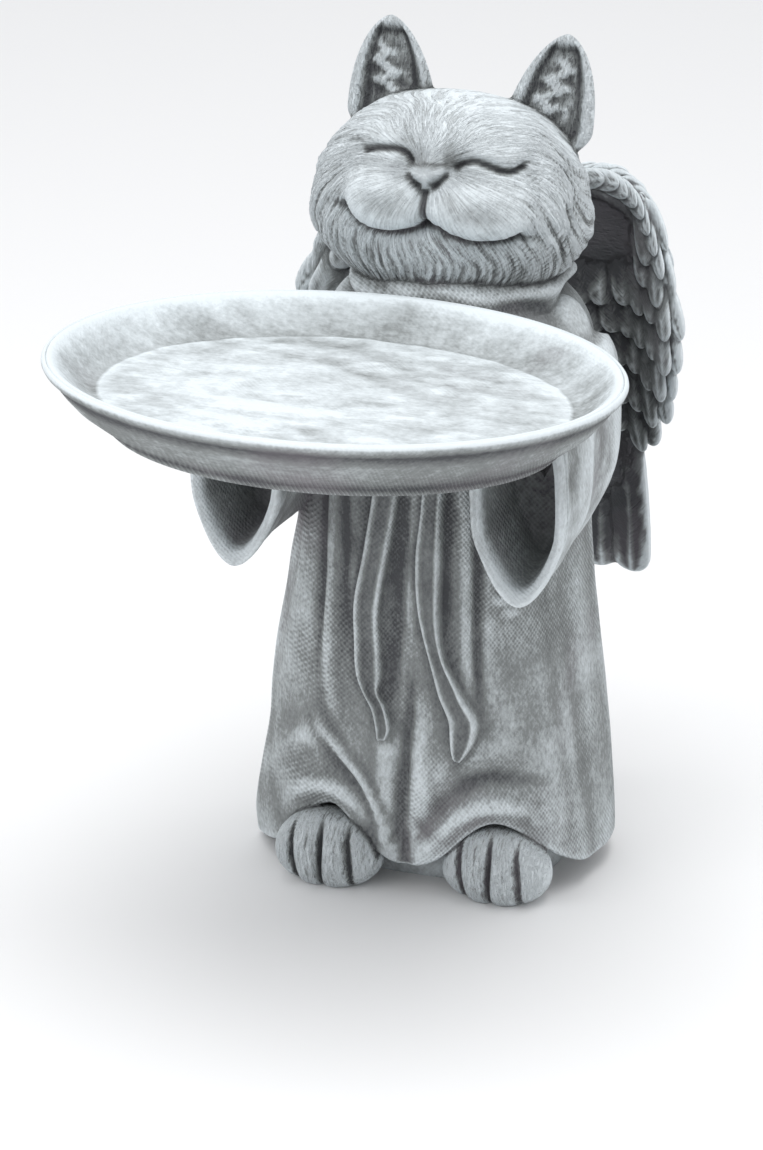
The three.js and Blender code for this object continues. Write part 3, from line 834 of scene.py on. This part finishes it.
def ear(side):
    def form(x, forward, up):
        rise = (up + 1) / 2
        level = np.maximum(1e-3, np.hypot(x, forward))
        round_x, round_f = x / level, forward / level
        outline = np.maximum(0, 1 - rise**2.2) ** 0.62 * smoothstep(rise, -0.3, 0.22)
        rim = np.abs(round_x)
        hollow = smoothstep(0.85 - rim, 0, 0.3) * smoothstep(0.97 - rise, 0, 0.12)
        # A curled lock of hair leans across the hollow
        from_lock = round_x + 0.1 + side * (0.5 - rise)
        curl = from_lock - 0.12 * np.sin(rise * 38)
        lock = bump(curl, 0.26) * smoothstep(0.84 - rise, 0, 0.18)
        strands = 0.3 * np.sin((rise + 0.5 * side * round_x) * 60)
        tuft = (2.1 + strands) * lock + 0.3 * noise(round_x * 9, rise * 9, 0 * rise, 41 + side)
        scoop = np.where(forward > 0, (-4.6 + tuft) * hollow, 0)
        thickness = EAR_THICKNESS * 0.6 * mix(1.25, 0.62, rise) * round_f * outline**0.5
        shift = side * mix(EAR_FOOT[0], EAR_TIP[0], rise) + EAR_SHIFT
        across = shift + EAR_HALF_WIDTH * outline * round_x
        back = mix(EAR_FOOT[1], EAR_TIP[1], rise) + thickness + scoop * outline**0.5
        return on_head(across, back, mix(EAR_FOOT[2], EAR_TIP[2], rise))

    return ball(circle(80), 50, form, FUR, EAR_GRAIN).worn(BRIGHT_EARS)


WING_ROOT = 9
WING_SPAN = 62
WING_INNER = -32
WING_EDGE = -24
WING_BULGE = 29.4
WING_SWEEP = 14
WING_THICKNESS = 6


def wing_forward(x, height):
    """A wing is cupped: it bulges behind the shoulder and comes forward to its outer edge."""
    across = np.clip((x - WING_ROOT) / (WING_SPAN - WING_ROOT), 0, 1)
    cup = np.sin(math.pi * across**0.75) ** 1.3
    sweep = 1 - smoothstep(height, 76, 150)
    return mix(WING_INNER, WING_EDGE, np.minimum(1, across * 3)) - WING_BULGE * cup - WING_SWEEP * sweep


# Flight feathers: root across and up, tip across and up, half width, half thickness, length of taper
LONG_FEATHERS = [
    (37, 194, 52.5, 186, 6, 2, 12),
    (41, 189, 56.5, 173.5, 6, 2, 14),
    (43, 183, 60.5, 162, 6, 2, 14),
    (43, 176, 59, 151, 6.5, 2, 12),
    (42, 170, 56, 141, 6.5, 2, 10),
    (41, 166, 53, 132, 6.5, 2.2, 9),
    (38, 156, 43, 119, 7.5, 2.4, 9),
    (32, 144, 32.5, 71, 6.8, 2.6, 7),
    (22.5, 140, 23.5, 72, 5.5, 2.8, 6),
    (17, 138, 17.5, 79, 5, 2.6, 6),
]
# Rows of covering feathers: height of the tips, innermost and outermost root, how many
COVERT_ROWS = [
    (178, 14, 38, 5),
    (169, 12, 44, 7),
    (160, 14, 48, 7),
    (150, 12, 49, 8),
    (140, 14, 47, 7),
    (129, 12, 42, 6),
    (118, 14, 35, 4),
]
BARE_CUP = (36, 165)
COVERT_LENGTH = 19
COVERT_SIZE = (4.3, 1.1, 5.59)
OUTER_TIPS = 50


def scatter(row, i):
    """A repeatable number from -1 to 1 for a place in a pattern."""
    return float(noise(np.array([row * 1.7 + 0.5]), i * 2.3 + 0.5, 0.5, 51)[0])


def feather(side, face, root, tip, size, fine):
    """A blade on the wing: face is 1 on its front, -1 on its back and 0 through its middle.

    Its size is half width, half thickness and length of taper; fine is its sides and rings.
    """
    half_width, half_thickness, taper = size
    run_x, run_up = tip[0] - root[0], tip[1] - root[1]
    length = math.hypot(run_x, run_up)
    run_x, run_up = run_x / length, run_up / length

    def form(across, thick, lengthwise):
        run = (lengthwise + 1) / 2
        level = np.maximum(1e-3, np.hypot(across, thick))
        place, front = across / level, thick / level
        full = np.minimum(1, run / 0.3) ** 0.5
        full = full * np.maximum(0, 1 - np.maximum(0, 1 - (1 - run) * length / taper) ** 2.2) ** 0.55
        spread = place * full * half_width
        x = root[0] + run_x * run * length + run_up * spread
        up = root[1] + run_up * run * length - run_x * spread
        shaft = 0.45 * bump(place, 0.12) - 0.4 * bump(np.abs(place) - 0.26, 0.1)
        barbs = 0.16 * np.sin((np.abs(place) * half_width * 1.2 + run * length) * 2.6)
        body = squared(front, 0.6) * half_thickness * full**0.6
        relief = np.sign(front) * (shaft + barbs) * full * np.abs(front) ** 0.5
        seat = face * (WING_THICKNESS / 2 - 2.4 + 4 * run)
        return side * x, wing_forward(x, up) + seat + body + relief + 0.6 * place * full, up

    def grain(across, thick, lengthwise, grid):
        run = (lengthwise + 1) / 2 * length
        barb = np.abs(across) * half_width
        return (run + barb * 1.2) * 1.6, (barb - run * 0.3) * 0.2, grid[..., 1] * 0.2

    return ball(circle(fine[0]), fine[1], form, FEATHER, grain)


def coverts(side):
    """Rows of short feathers that overlap like shingles on both faces of the wing."""
    made = []
    for row, (low, inner, outer, count) in enumerate(COVERT_ROWS):
        for i in range(count):
            t = i / (count - 1)
            x = mix(inner, outer, t)
            length = COVERT_LENGTH + 2 * scatter(row, i)
            tip_up = low + 3 * math.sin(t * math.pi) + 1.5 * scatter(i, row)
            tip = (x + 1 + 5 * t + scatter(row + i, row), tip_up)
            root = (x, tip_up + length)
            # The cup behind the shoulder is bare in front
            faces = (-1,) if low > BARE_CUP[1] and x < BARE_CUP[0] else (-1, 1)
            for face in faces:
                made.append(feather(side, face, root, tip, COVERT_SIZE, (14, 14)))
    return made


# The wing's plain shell, under its feathers: up, inner edge, outer edge
WING = [
    (84, 18, 33),
    (105, 14, 36),
    (122, 10, 42),
    (135, 9, 49),
    (150, 9, 54),
    (163, 9, 57),
    (175, 9, 55),
    (184, 9, 49),
    (191, 10, 41),
    (196, 13, 34),
    (200, 19, 27),
]


def wing_shell(side):
    low, high = WING[0][0], WING[-1][0]

    def form(x, thick, lengthwise):
        up = mix(low, high, np.arcsin(lengthwise) / math.pi + 0.5)
        level = np.maximum(0.001, np.hypot(x, thick))
        across = mix(along(WING, 1, up), along(WING, 2, up), (x / level + 1) / 2)
        depth = (thick / level) * (WING_THICKNESS / 2) * np.minimum(1, level * 2)
        return side * across, wing_forward(across, up) + depth, up

    def grain(x, thick, lengthwise, grid):
        return grid[..., 2] * 1.4, grid[..., 0] * 0.3, grid[..., 1] * 0.3

    return ball(circle(40), 48, form, FEATHER, grain)


# The rounded leading edge: place along it, across, up and half width
LEADING_EDGE = [
    (0, 12, 196, 2.5),
    (0.2, 20, 199.3, 3.6),
    (0.35, 27, 198, 4.3),
    (0.5, 33, 194.8, 4.4),
    (0.65, 38.5, 191, 4.2),
    (0.8, 44, 186.5, 3.6),
    (1, 53, 176, 2),
]
EDGE_THICKNESS = 2
EDGE_FEATHERS = 9
EDGE_FEATHER_SIZE = (3.4, 1.1, 6)


def edge_place(t, share):
    """A point of the leading edge: share is 1 on its outer side and -1 on its inner side."""
    x, up, half_width = (along(LEADING_EDGE, column, t) for column in (1, 2, 3))
    step = 0.02
    run_x = along(LEADING_EDGE, 1, t + step) - along(LEADING_EDGE, 1, t - step)
    run_up = along(LEADING_EDGE, 2, t + step) - along(LEADING_EDGE, 2, t - step)
    length = np.maximum(1e-6, np.hypot(run_x, run_up))
    out = share * half_width / length
    return x - out * run_up, up + out * run_x


def leading_edge(side):
    def form(angle, t):
        x, up = edge_place(t, np.sin(angle))
        return side * x, wing_forward(x, up) + 0.6 + EDGE_THICKNESS * np.cos(angle), up

    return tube(circle(24), np.linspace(0, 1, 40), form, FEATHER, EDGE_GRAIN)


def edge_feathers(side):
    """Scales that overlap along the outer side of the leading edge."""
    made = []
    for i in range(EDGE_FEATHERS):
        t = 0.02 + 0.09 * i
        root, tip = edge_place(t, 0.3), edge_place(t + 0.23, 0.75 + 0.2 * scatter(i, side))
        for face in (-1, 1):
            made.append(feather(side, face, root, tip, EDGE_FEATHER_SIZE, (16, 16)))
    return made


def wing(side):
    # The wings are painted darker, partly their own darker paint and partly painted shade
    made = [piece.worn(BRIGHT_WINGS_WITH_PAINTED_SHADE) for piece in [wing_shell(side)] + coverts(side)]
    for root_x, root_up, tip_x, tip_up, *size in LONG_FEATHERS:
        blade = feather(side, 0, (root_x, root_up), (tip_x, tip_up), size, (20, 30))
        made.append(blade.worn(BRIGHT_EDGES if tip_x > OUTER_TIPS else BRIGHT_WINGS_WITH_PAINTED_SHADE))
    return made + [piece.worn(BRIGHT_EDGES) for piece in [leading_edge(side)] + edge_feathers(side)]


BACK_HALF = (20, 12, 44)
BACK_CENTRE = (0, -30, 158)


def wing_roots():
    """The saddle on the back that both wings grow from."""

    def form(*place):
        return [centre + half * part for centre, half, part in zip(BACK_CENTRE, BACK_HALF, place)]

    # The saddle is painted darker like the wings, partly paint and partly painted shade
    return ball(circle(40), 36, form, FEATHER).worn(BRIGHT_WINGS_WITH_PAINTED_SHADE)


def every_piece():
    made = [robe(), under_base(), collar(), head(), dish(), wing_roots()]
    for side in (-1, 1):
        made += [foot(side), ear(side), forearm(side), upper_arm(side)] + wing(side)
    return made + [ribbon(LEFT_RIBBON, -0.8), ribbon(RIGHT_RIBBON, 0.8)]


def boolean(target, operation, others, name):
    """Joins or cuts target with other objects and removes them."""
    group = bpy.data.collections.new(name)
    for other in others:
        group.objects.link(other)
    modifier = target.modifiers.new(name, "BOOLEAN")
    modifier.operation = operation
    modifier.operand_type = "COLLECTION"
    modifier.collection = group
    modifier.solver = "MANIFOLD"
    evaluated = target.evaluated_get(bpy.context.evaluated_depsgraph_get())
    mesh = bpy.data.meshes.new_from_object(evaluated)
    target.modifiers.clear()
    target.data = mesh
    for other in others:
        bpy.data.objects.remove(other)
    bpy.data.collections.remove(group)


def ground_block():
    """A block whose top is the ground."""
    reach = 3 * FIGURE * UNIT
    shape = bmesh.new()
    bmesh.ops.create_cube(shape, size=reach)
    bmesh.ops.translate(shape, vec=(0, 0, -reach / 2), verts=shape.verts)
    mesh = bpy.data.meshes.new("ground")
    shape.to_mesh(mesh)
    shape.free()
    ground = bpy.data.objects.new("ground", mesh)
    bpy.context.scene.collection.objects.link(ground)
    return ground


def fused(made, cuffs):
    """All the forms joined to one closed mesh, cut flat at the ground."""
    objects = [piece.shown("form") for piece in made]
    for outside, hollow in cuffs:
        cuff = outside.shown("sleeve")
        boolean(cuff, "DIFFERENCE", [hollow.shown("hollow")], "cut")
        objects.append(cuff)
    whole = objects[0]
    boolean(whole, "UNION", objects[1:], "join")
    boolean(whole, "DIFFERENCE", [ground_block()], "flatten")
    return whole


def tidied(mesh):
    """Merges slivers along the joins and makes triangles."""
    shape = bmesh.new()
    shape.from_mesh(mesh)
    bmesh.ops.remove_doubles(shape, verts=shape.verts, dist=0.12 * UNIT)
    bmesh.ops.dissolve_degenerate(shape, edges=shape.edges, dist=0.02 * UNIT)
    bmesh.ops.triangulate(shape, faces=shape.faces)
    shape.to_mesh(mesh)
    shape.free()
    mesh.update()


def read(mesh):
    points = np.empty(len(mesh.vertices) * 3)
    mesh.vertices.foreach_get("co", points)
    edges = np.empty(len(mesh.edges) * 2, np.int64)
    mesh.edges.foreach_get("vertices", edges)
    return points.reshape(-1, 3), edges.reshape(-1, 2)


def averaged(values, edges, count):
    """Each vertex's mean over its neighbours."""
    total = np.zeros_like(values)
    for column in range(values.shape[1]):
        total[:, column] += np.bincount(edges[:, 0], values[edges[:, 1], column], count)
        total[:, column] += np.bincount(edges[:, 1], values[edges[:, 0], column], count)
    near = np.bincount(edges.ravel(), minlength=count)
    return total / np.maximum(1, near)[:, None]


def softened(points, edges, weight, rounds):
    """Rounds off the places where weight is high."""
    for _ in range(rounds):
        points = points + 0.5 * weight[:, None] * (averaged(points, edges, len(points)) - points)
    return points


def add_attribute(mesh, name, values):
    if values.ndim == 1:
        layer = mesh.attributes.new(name, "FLOAT", "POINT")
        layer.data.foreach_set("value", values.astype(np.float32))
    else:
        layer = mesh.attributes.new(name, "FLOAT_VECTOR", "POINT")
        layer.data.foreach_set("vector", values.astype(np.float32).ravel())


RAY_COUNT = 14
RAY_REACH = 60
GOLDEN_ANGLE = 2.399963


def exposure(mesh, points, normals):
    """How open each vertex lies to the light around it, from 0 to 1."""
    tree = BVHTree.FromPolygons(points.tolist(), [tuple(face.vertices) for face in mesh.polygons])
    rays = []
    for i in range(RAY_COUNT):
        lift = (i + 0.5) / RAY_COUNT
        turn = i * GOLDEN_ANGLE
        level = math.sqrt(1 - lift * lift)
        rays.append(Vector((level * math.cos(turn), level * math.sin(turn), lift)))
    open_share = np.zeros(len(points))
    reach = RAY_REACH * UNIT
    up = Vector((0, 0, 1))
    for i, (point, normal) in enumerate(zip(points.tolist(), normals.tolist())):
        normal = Vector(normal)
        start = Vector(point) + normal * 0.6 * UNIT
        turn = up.rotation_difference(normal)
        clear = [tree.ray_cast(start, turn @ ray, reach)[0] is None for ray in rays]
        open_share[i] = sum(clear) / RAY_COUNT
    return open_share


def nearest_points(points, made):
    """Which of the pieces' own points lies nearest to each point, and whether it is on a join."""
    originals = np.vstack([piece.points for piece in made]) * PLACED
    tree = KDTree(len(originals))
    for i, point in enumerate(originals.tolist()):
        tree.insert(point, i)
    tree.balance()
    found = [tree.find(point) for point in points.tolist()]
    return np.array([hit[1] for hit in found]), np.array([hit[2] for hit in found]) > 0.05 * UNIT


def gathered(made, name):
    """One property of the pieces for every one of their points."""
    return np.concatenate([np.broadcast_to(getattr(piece, name), len(piece.points)) for piece in made])


def spread(places, edges, rounds, gain):
    """A share of 1 at the places, which fades out over some more edges."""
    share = places.astype(float)[:, None]
    for _ in range(rounds):
        share = np.maximum(share, 0.9 * averaged(share, edges, len(share)))
    return np.minimum(1, share[:, 0] * gain)


# What stands out of the smoothed shape: name, rounds of smoothing, full height
RELIEFS = [("edge", 2, 0.12), ("fold", 10, 0.5), ("hollow", 40, 1.6)]


def dressed(whole, made):
    """Softens the joins and stores what the material needs on the vertices."""
    mesh = whole.data
    tidied(mesh)
    points, edges = read(mesh)
    nearest, seam = nearest_points(points, made)
    names = ("kind", "bright", "coat", "rounding", "hatching")
    kinds, brights, coats, roundings, hatchings = (gathered(made, name)[nearest] for name in names)
    above_ground = points[:, 2] >= 0.3 * UNIT
    points = softened(points, edges, above_ground * spread(seam, edges, 2, 1.6), 6)
    points = softened(points, edges, above_ground * spread(seam & (roundings > 0.5), edges, 4, 1.3), 8)
    mesh.vertices.foreach_set("co", points.ravel())
    mesh.update()
    normals = np.empty(points.size)
    mesh.vertices.foreach_get("normal", normals)
    normals = normals.reshape(-1, 3)
    everywhere = np.ones(len(points))
    smooth = points
    done = 0
    for name, rounds, scale in RELIEFS:
        smooth = softened(smooth, edges, everywhere, rounds - done)
        done = rounds
        add_attribute(mesh, name, np.clip(((points - smooth) * normals).sum(1) / UNIT / scale, -1, 1))
    add_attribute(mesh, "grain", np.vstack([piece.grain for piece in made])[nearest])
    shares = {
        "exposure": exposure(mesh, points, normals),
        # Upward faces are painted lighter: partly dust and dry brushing from above, partly painted top
        # light
        "bright": brights + BRIGHT_TOP_DUST_AND_PAINTED_LIGHT * smoothstep(normals[:, 2], 0.1, 0.8),
        "hatching": hatchings,
        "fur": (kinds == FUR) * coats,
        "cloth": (kinds == CLOTH) * coats,
        "feather": (kinds == FEATHER) * coats,
    }
    for name, values in shares.items():
        add_attribute(mesh, name, softened(values[:, None].astype(float), edges, everywhere, 2)[:, 0])
    mesh.polygons.foreach_set("use_smooth", np.ones(len(mesh.polygons), bool))
    mesh.update()


class Nodes:
    """Short ways to add shader nodes to a material."""

    def __init__(self, name):
        self.material = bpy.data.materials.new(name)
        self.material.use_nodes = True
        self.tree = self.material.node_tree
        self.shader = self.tree.nodes["Principled BSDF"]

    def put(self, socket, value):
        if isinstance(value, bpy.types.NodeSocket):
            self.tree.links.new(value, socket)
        else:
            socket.default_value = value

    def node(self, kind, inputs, **settings):
        made = self.tree.nodes.new("ShaderNode" + kind)
        for name, value in settings.items():
            setattr(made, name, value)
        for name, value in inputs.items():
            self.put(made.inputs[name], value)
        return made

    def attribute(self, name, output="Fac"):
        return self.node("Attribute", {}, attribute_name=name).outputs[output]

    def math(self, operation, a, b=0.0):
        return self.node("Math", {0: a, 1: b}, operation=operation).outputs[0]

    def sum(self, *terms):
        """The terms' total, each with its weight."""
        total = None
        for value, weight in terms:
            part = value if weight == 1 else self.math("MULTIPLY", value, weight)
            total = part if total is None else self.math("ADD", total, part)
        return total

    def noise(self, vector, scale, detail=3.0, roughness=0.55):
        inputs = {"Vector": vector, "Scale": scale, "Detail": detail, "Roughness": roughness}
        return self.node("TexNoise", inputs).outputs["Fac"]

    def noise_around_zero(self, *settings):
        return self.math("SUBTRACT", self.noise(*settings), 0.5)

    def wave(self, vector, scale, turned=False):
        """Slanting bands, leaning the other way when turned."""
        signs = (-1, -1, 1) if turned else (1, 1, 1)
        flipped = self.node("VectorMath", {0: vector, 1: signs}, operation="MULTIPLY").outputs[0]
        inputs = {"Vector": flipped, "Scale": scale, "Distortion": 2.5, "Detail": 2, "Detail Scale": 0.3}
        return self.node("TexWave", inputs, bands_direction="DIAGONAL").outputs["Fac"]

    def rescale(self, value, low, high, to_low=0.0, to_high=1.0):
        inputs = {"Value": value, "From Min": low, "From Max": high, "To Min": to_low, "To Max": to_high}
        return self.node("MapRange", inputs).outputs["Result"]

    def mix(self, share, a, b):
        return self.node("Mix", {0: share, 6: a, 7: b}, data_type="RGBA").outputs[2]

    def bump(self, height, strength, distance, normal=None):
        inputs = {"Height": height, "Strength": strength, "Distance": distance}
        if normal is not None:
            inputs["Normal"] = normal
        return self.node("Bump", inputs).outputs["Normal"]


DARK = (0.07, 0.072, 0.078, 1)
MID = (0.235, 0.25, 0.25, 1)
LIGHT = (0.66, 0.71, 0.735, 1)
TINT = (0.24, 0.21, 0.235, 1)
WEAVE = 370
HATCH = 440


def cloth_weave(n, position, grain, cloth):
    """Crossed threads, worn away in patches."""
    threads = n.math("ADD", n.wave(position, WEAVE), n.wave(position, WEAVE, True))
    threads = n.math("SUBTRACT", n.math("MULTIPLY", threads, 0.5), 0.5)
    woven = n.math("MULTIPLY", threads, n.rescale(n.noise(position, 26, 2), 0.42, 0.6, 0.15, 1))
    weave = n.sum((woven, 1.0), (n.noise_around_zero(grain, 1.5, 2, 0.8), 0.8))
    return n.math("MULTIPLY", weave, n.sum((0.1, 1), (cloth, 0.35)))


def cast_stone():
    """Grey cast stone: a dark wash in the hollows, deepened by painted shade where points lie closed off
    from the light, and light dry brushing on what stands out, with the painted light and shade held in each
    form's brightness.
    """
    n = Nodes("cast_stone")
    position = n.node("TexCoord", {}).outputs["Object"]
    grain = n.attribute("grain", "Vector")
    fur, cloth, feathers = (n.attribute(name) for name in ("fur", "cloth", "feather"))
    patches = n.noise_around_zero(position, 38, 5, 0.6)
    clouds = n.noise_around_zero(position, 11, 3)
    specks = n.noise_around_zero(position, 520, 2)
    strands = n.noise_around_zero(grain, 1.0, 3, 0.65)
    lines = n.rescale(n.math("ABSOLUTE", strands), 0.0, 0.09, 0.6, -0.4)
    weave = cloth_weave(n, position, grain, cloth)
    hatch = n.math("SUBTRACT", n.wave(position, HATCH), 0.5)
    hatch = n.math("MULTIPLY", hatch, n.attribute("hatching"))
    # Painted shade: points closed off from the light around them are darkened, partly standing for the dark
    # wash
    open_air_for_painted_shade = n.math("MAXIMUM", n.attribute("exposure"), 0.5)
    height = n.sum(
        (n.attribute("edge"), n.sum((0.32, 1), (fur, 0.15), (feathers, 0.2))),
        (n.attribute("fold"), n.sum((0.14, 1), (fur, 0.25), (feathers, 0.25))),
        (n.attribute("hollow"), n.sum((0.1, 1), (fur, 0.15), (feathers, 0.15))),
        (strands, n.sum((0.6, 1), (fur, 1.2), (feathers, 0.4), (cloth, 0.3))),
        (lines, n.math("MULTIPLY", fur, 0.42)),
        (weave, 1.0),
        (hatch, 0.28),
        (patches, n.sum((1.0, 1), (fur, -0.2), (cloth, 0.2))),
        (clouds, 0.7),
        (specks, 0.45),
        (n.math("SUBTRACT", open_air_for_painted_shade, 0.8), 0.65),
        (n.attribute("bright"), 1.0),
    )
    # High height goes to the light paint and painted light, low height to the dark wash and painted shade
    colour = n.mix(n.rescale(height, -0.1, 0.75), MID, LIGHT)
    colour = n.mix(n.rescale(height, -0.12, -0.85, 0, 0.95), colour, DARK)
    stain = n.rescale(n.noise(position, 17, 3), 0.52, 0.75, 0, 0.55)
    stained = n.math("MULTIPLY", stain, n.rescale(height, 0.5, -0.1))
    n.put(n.shader.inputs["Base Color"], n.mix(stained, colour, TINT))
    n.shader.inputs["Roughness"].default_value = 0.85
    n.shader.inputs["Specular IOR Level"].default_value = 0.2
    fine = n.sum((strands, n.sum((fur, 0.8), (feathers, 0.5))), (lines, n.math("MULTIPLY", fur, 0.25)))
    fine = n.sum((fine, 1), (weave, 0.5), (hatch, 0.3))
    normal = n.bump(fine, 0.9, 0.0016)
    normal = n.bump(n.sum((specks, 1.0), (patches, 0.6)), 0.5, 0.0007, normal)
    n.put(n.shader.inputs["Normal"], normal)
    return n.material


def make_floor():
    mesh = bpy.data.meshes.new("floor")
    reach = 4.0
    corners = [(-reach, -reach, 0), (reach, -reach, 0), (reach, reach, 0), (-reach, reach, 0)]
    mesh.from_pydata(corners, [], [(0, 1, 2, 3)])
    floor = bpy.data.objects.new("floor", mesh)
    bpy.context.scene.collection.objects.link(floor)
    n = Nodes("pale_floor")
    n.shader.inputs["Base Color"].default_value = (0.86, 0.86, 0.86, 1)
    n.shader.inputs["Roughness"].default_value = 0.9
    floor.data.materials.append(n.material)


def area_light(name, place, target, size, power):
    light = bpy.data.lights.new(name, "AREA")
    light.size = size
    light.energy = power
    made = bpy.data.objects.new(name, light)
    made.location = place
    made.rotation_euler = (Vector(target) - Vector(place)).to_track_quat("-Z", "Y").to_euler()
    bpy.context.scene.collection.objects.link(made)


def make_lights():
    world = bpy.data.worlds.new("studio")
    world.use_nodes = True
    background = world.node_tree.nodes["Background"]
    background.inputs["Color"].default_value = (0.97, 0.98, 1.0, 1)
    background.inputs["Strength"].default_value = 0.85
    bpy.context.scene.world = world
    bpy.context.scene.view_settings.view_transform = "Standard"
    middle = (0, -0.04, 0.14)
    area_light("top", (0.1, -0.25, 1.2), middle, 0.8, 8)
    area_light("front", (-0.8, -1.2, 0.7), middle, 1.0, 4)


CAMERA_TURN = math.radians(21.2)
CAMERA_LIFT = math.radians(19.8)
CAMERA_DISTANCE = 1400.0
CAMERA_SCALE = 3.4
PHOTO_SIZE = (763, 1150)
TARGET_PIXEL = (456.4, 460.2)
TARGET_HEIGHT = 125.0
SENSOR = 36.0


def look_axes(turn, lift):
    look = np.array([-math.sin(turn) * math.cos(lift), math.cos(turn) * math.cos(lift), -math.sin(lift)])
    right = unit(np.cross(look, [0, 0, 1.0]))
    return right, np.cross(right, look), look


def make_camera():
    """The photograph's camera: the point at TARGET_HEIGHT over the origin falls on TARGET_PIXEL."""
    target = np.array([0, 0, TARGET_HEIGHT])
    centre = target - look_axes(CAMERA_TURN, CAMERA_LIFT)[2] * CAMERA_DISTANCE
    focal = CAMERA_SCALE * CAMERA_DISTANCE
    across = (TARGET_PIXEL[0] - PHOTO_SIZE[0] / 2) / focal
    down = (TARGET_PIXEL[1] - PHOTO_SIZE[1] / 2) / focal
    yaw, pitch = 0.0, 0.0
    for _ in range(30):
        right, up, look = look_axes(CAMERA_TURN + yaw, CAMERA_LIFT + pitch)
        offset = target - centre
        depth = offset @ look
        yaw += across - (offset @ right) / depth
        pitch -= (offset @ up) / depth + down
    camera = bpy.data.cameras.new("camera")
    camera.sensor_width = SENSOR
    camera.lens = focal * SENSOR / max(PHOTO_SIZE)
    camera.clip_end = 20
    made = bpy.data.objects.new("camera", camera)
    turn = Matrix((right, up, -look)).transposed().to_4x4()
    made.matrix_world = Matrix.Translation(centre * UNIT) @ turn
    bpy.context.scene.collection.objects.link(made)
    bpy.context.scene.camera = made


def make_statue():
    made = every_piece()
    cuffs = [(sleeve(side), cuff_hollow(side)) for side in (-1, 1)]
    whole = fused(made, cuffs)
    whole.name = "cat_angel_casting"
    dressed(whole, made + [piece for cuff in cuffs for piece in cuff])
    whole.data.materials.clear()
    whole.data.materials.append(cast_stone())
    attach(whole, "root")
    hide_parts(NODE)


make_statue()
make_floor()
make_lights()
make_camera()
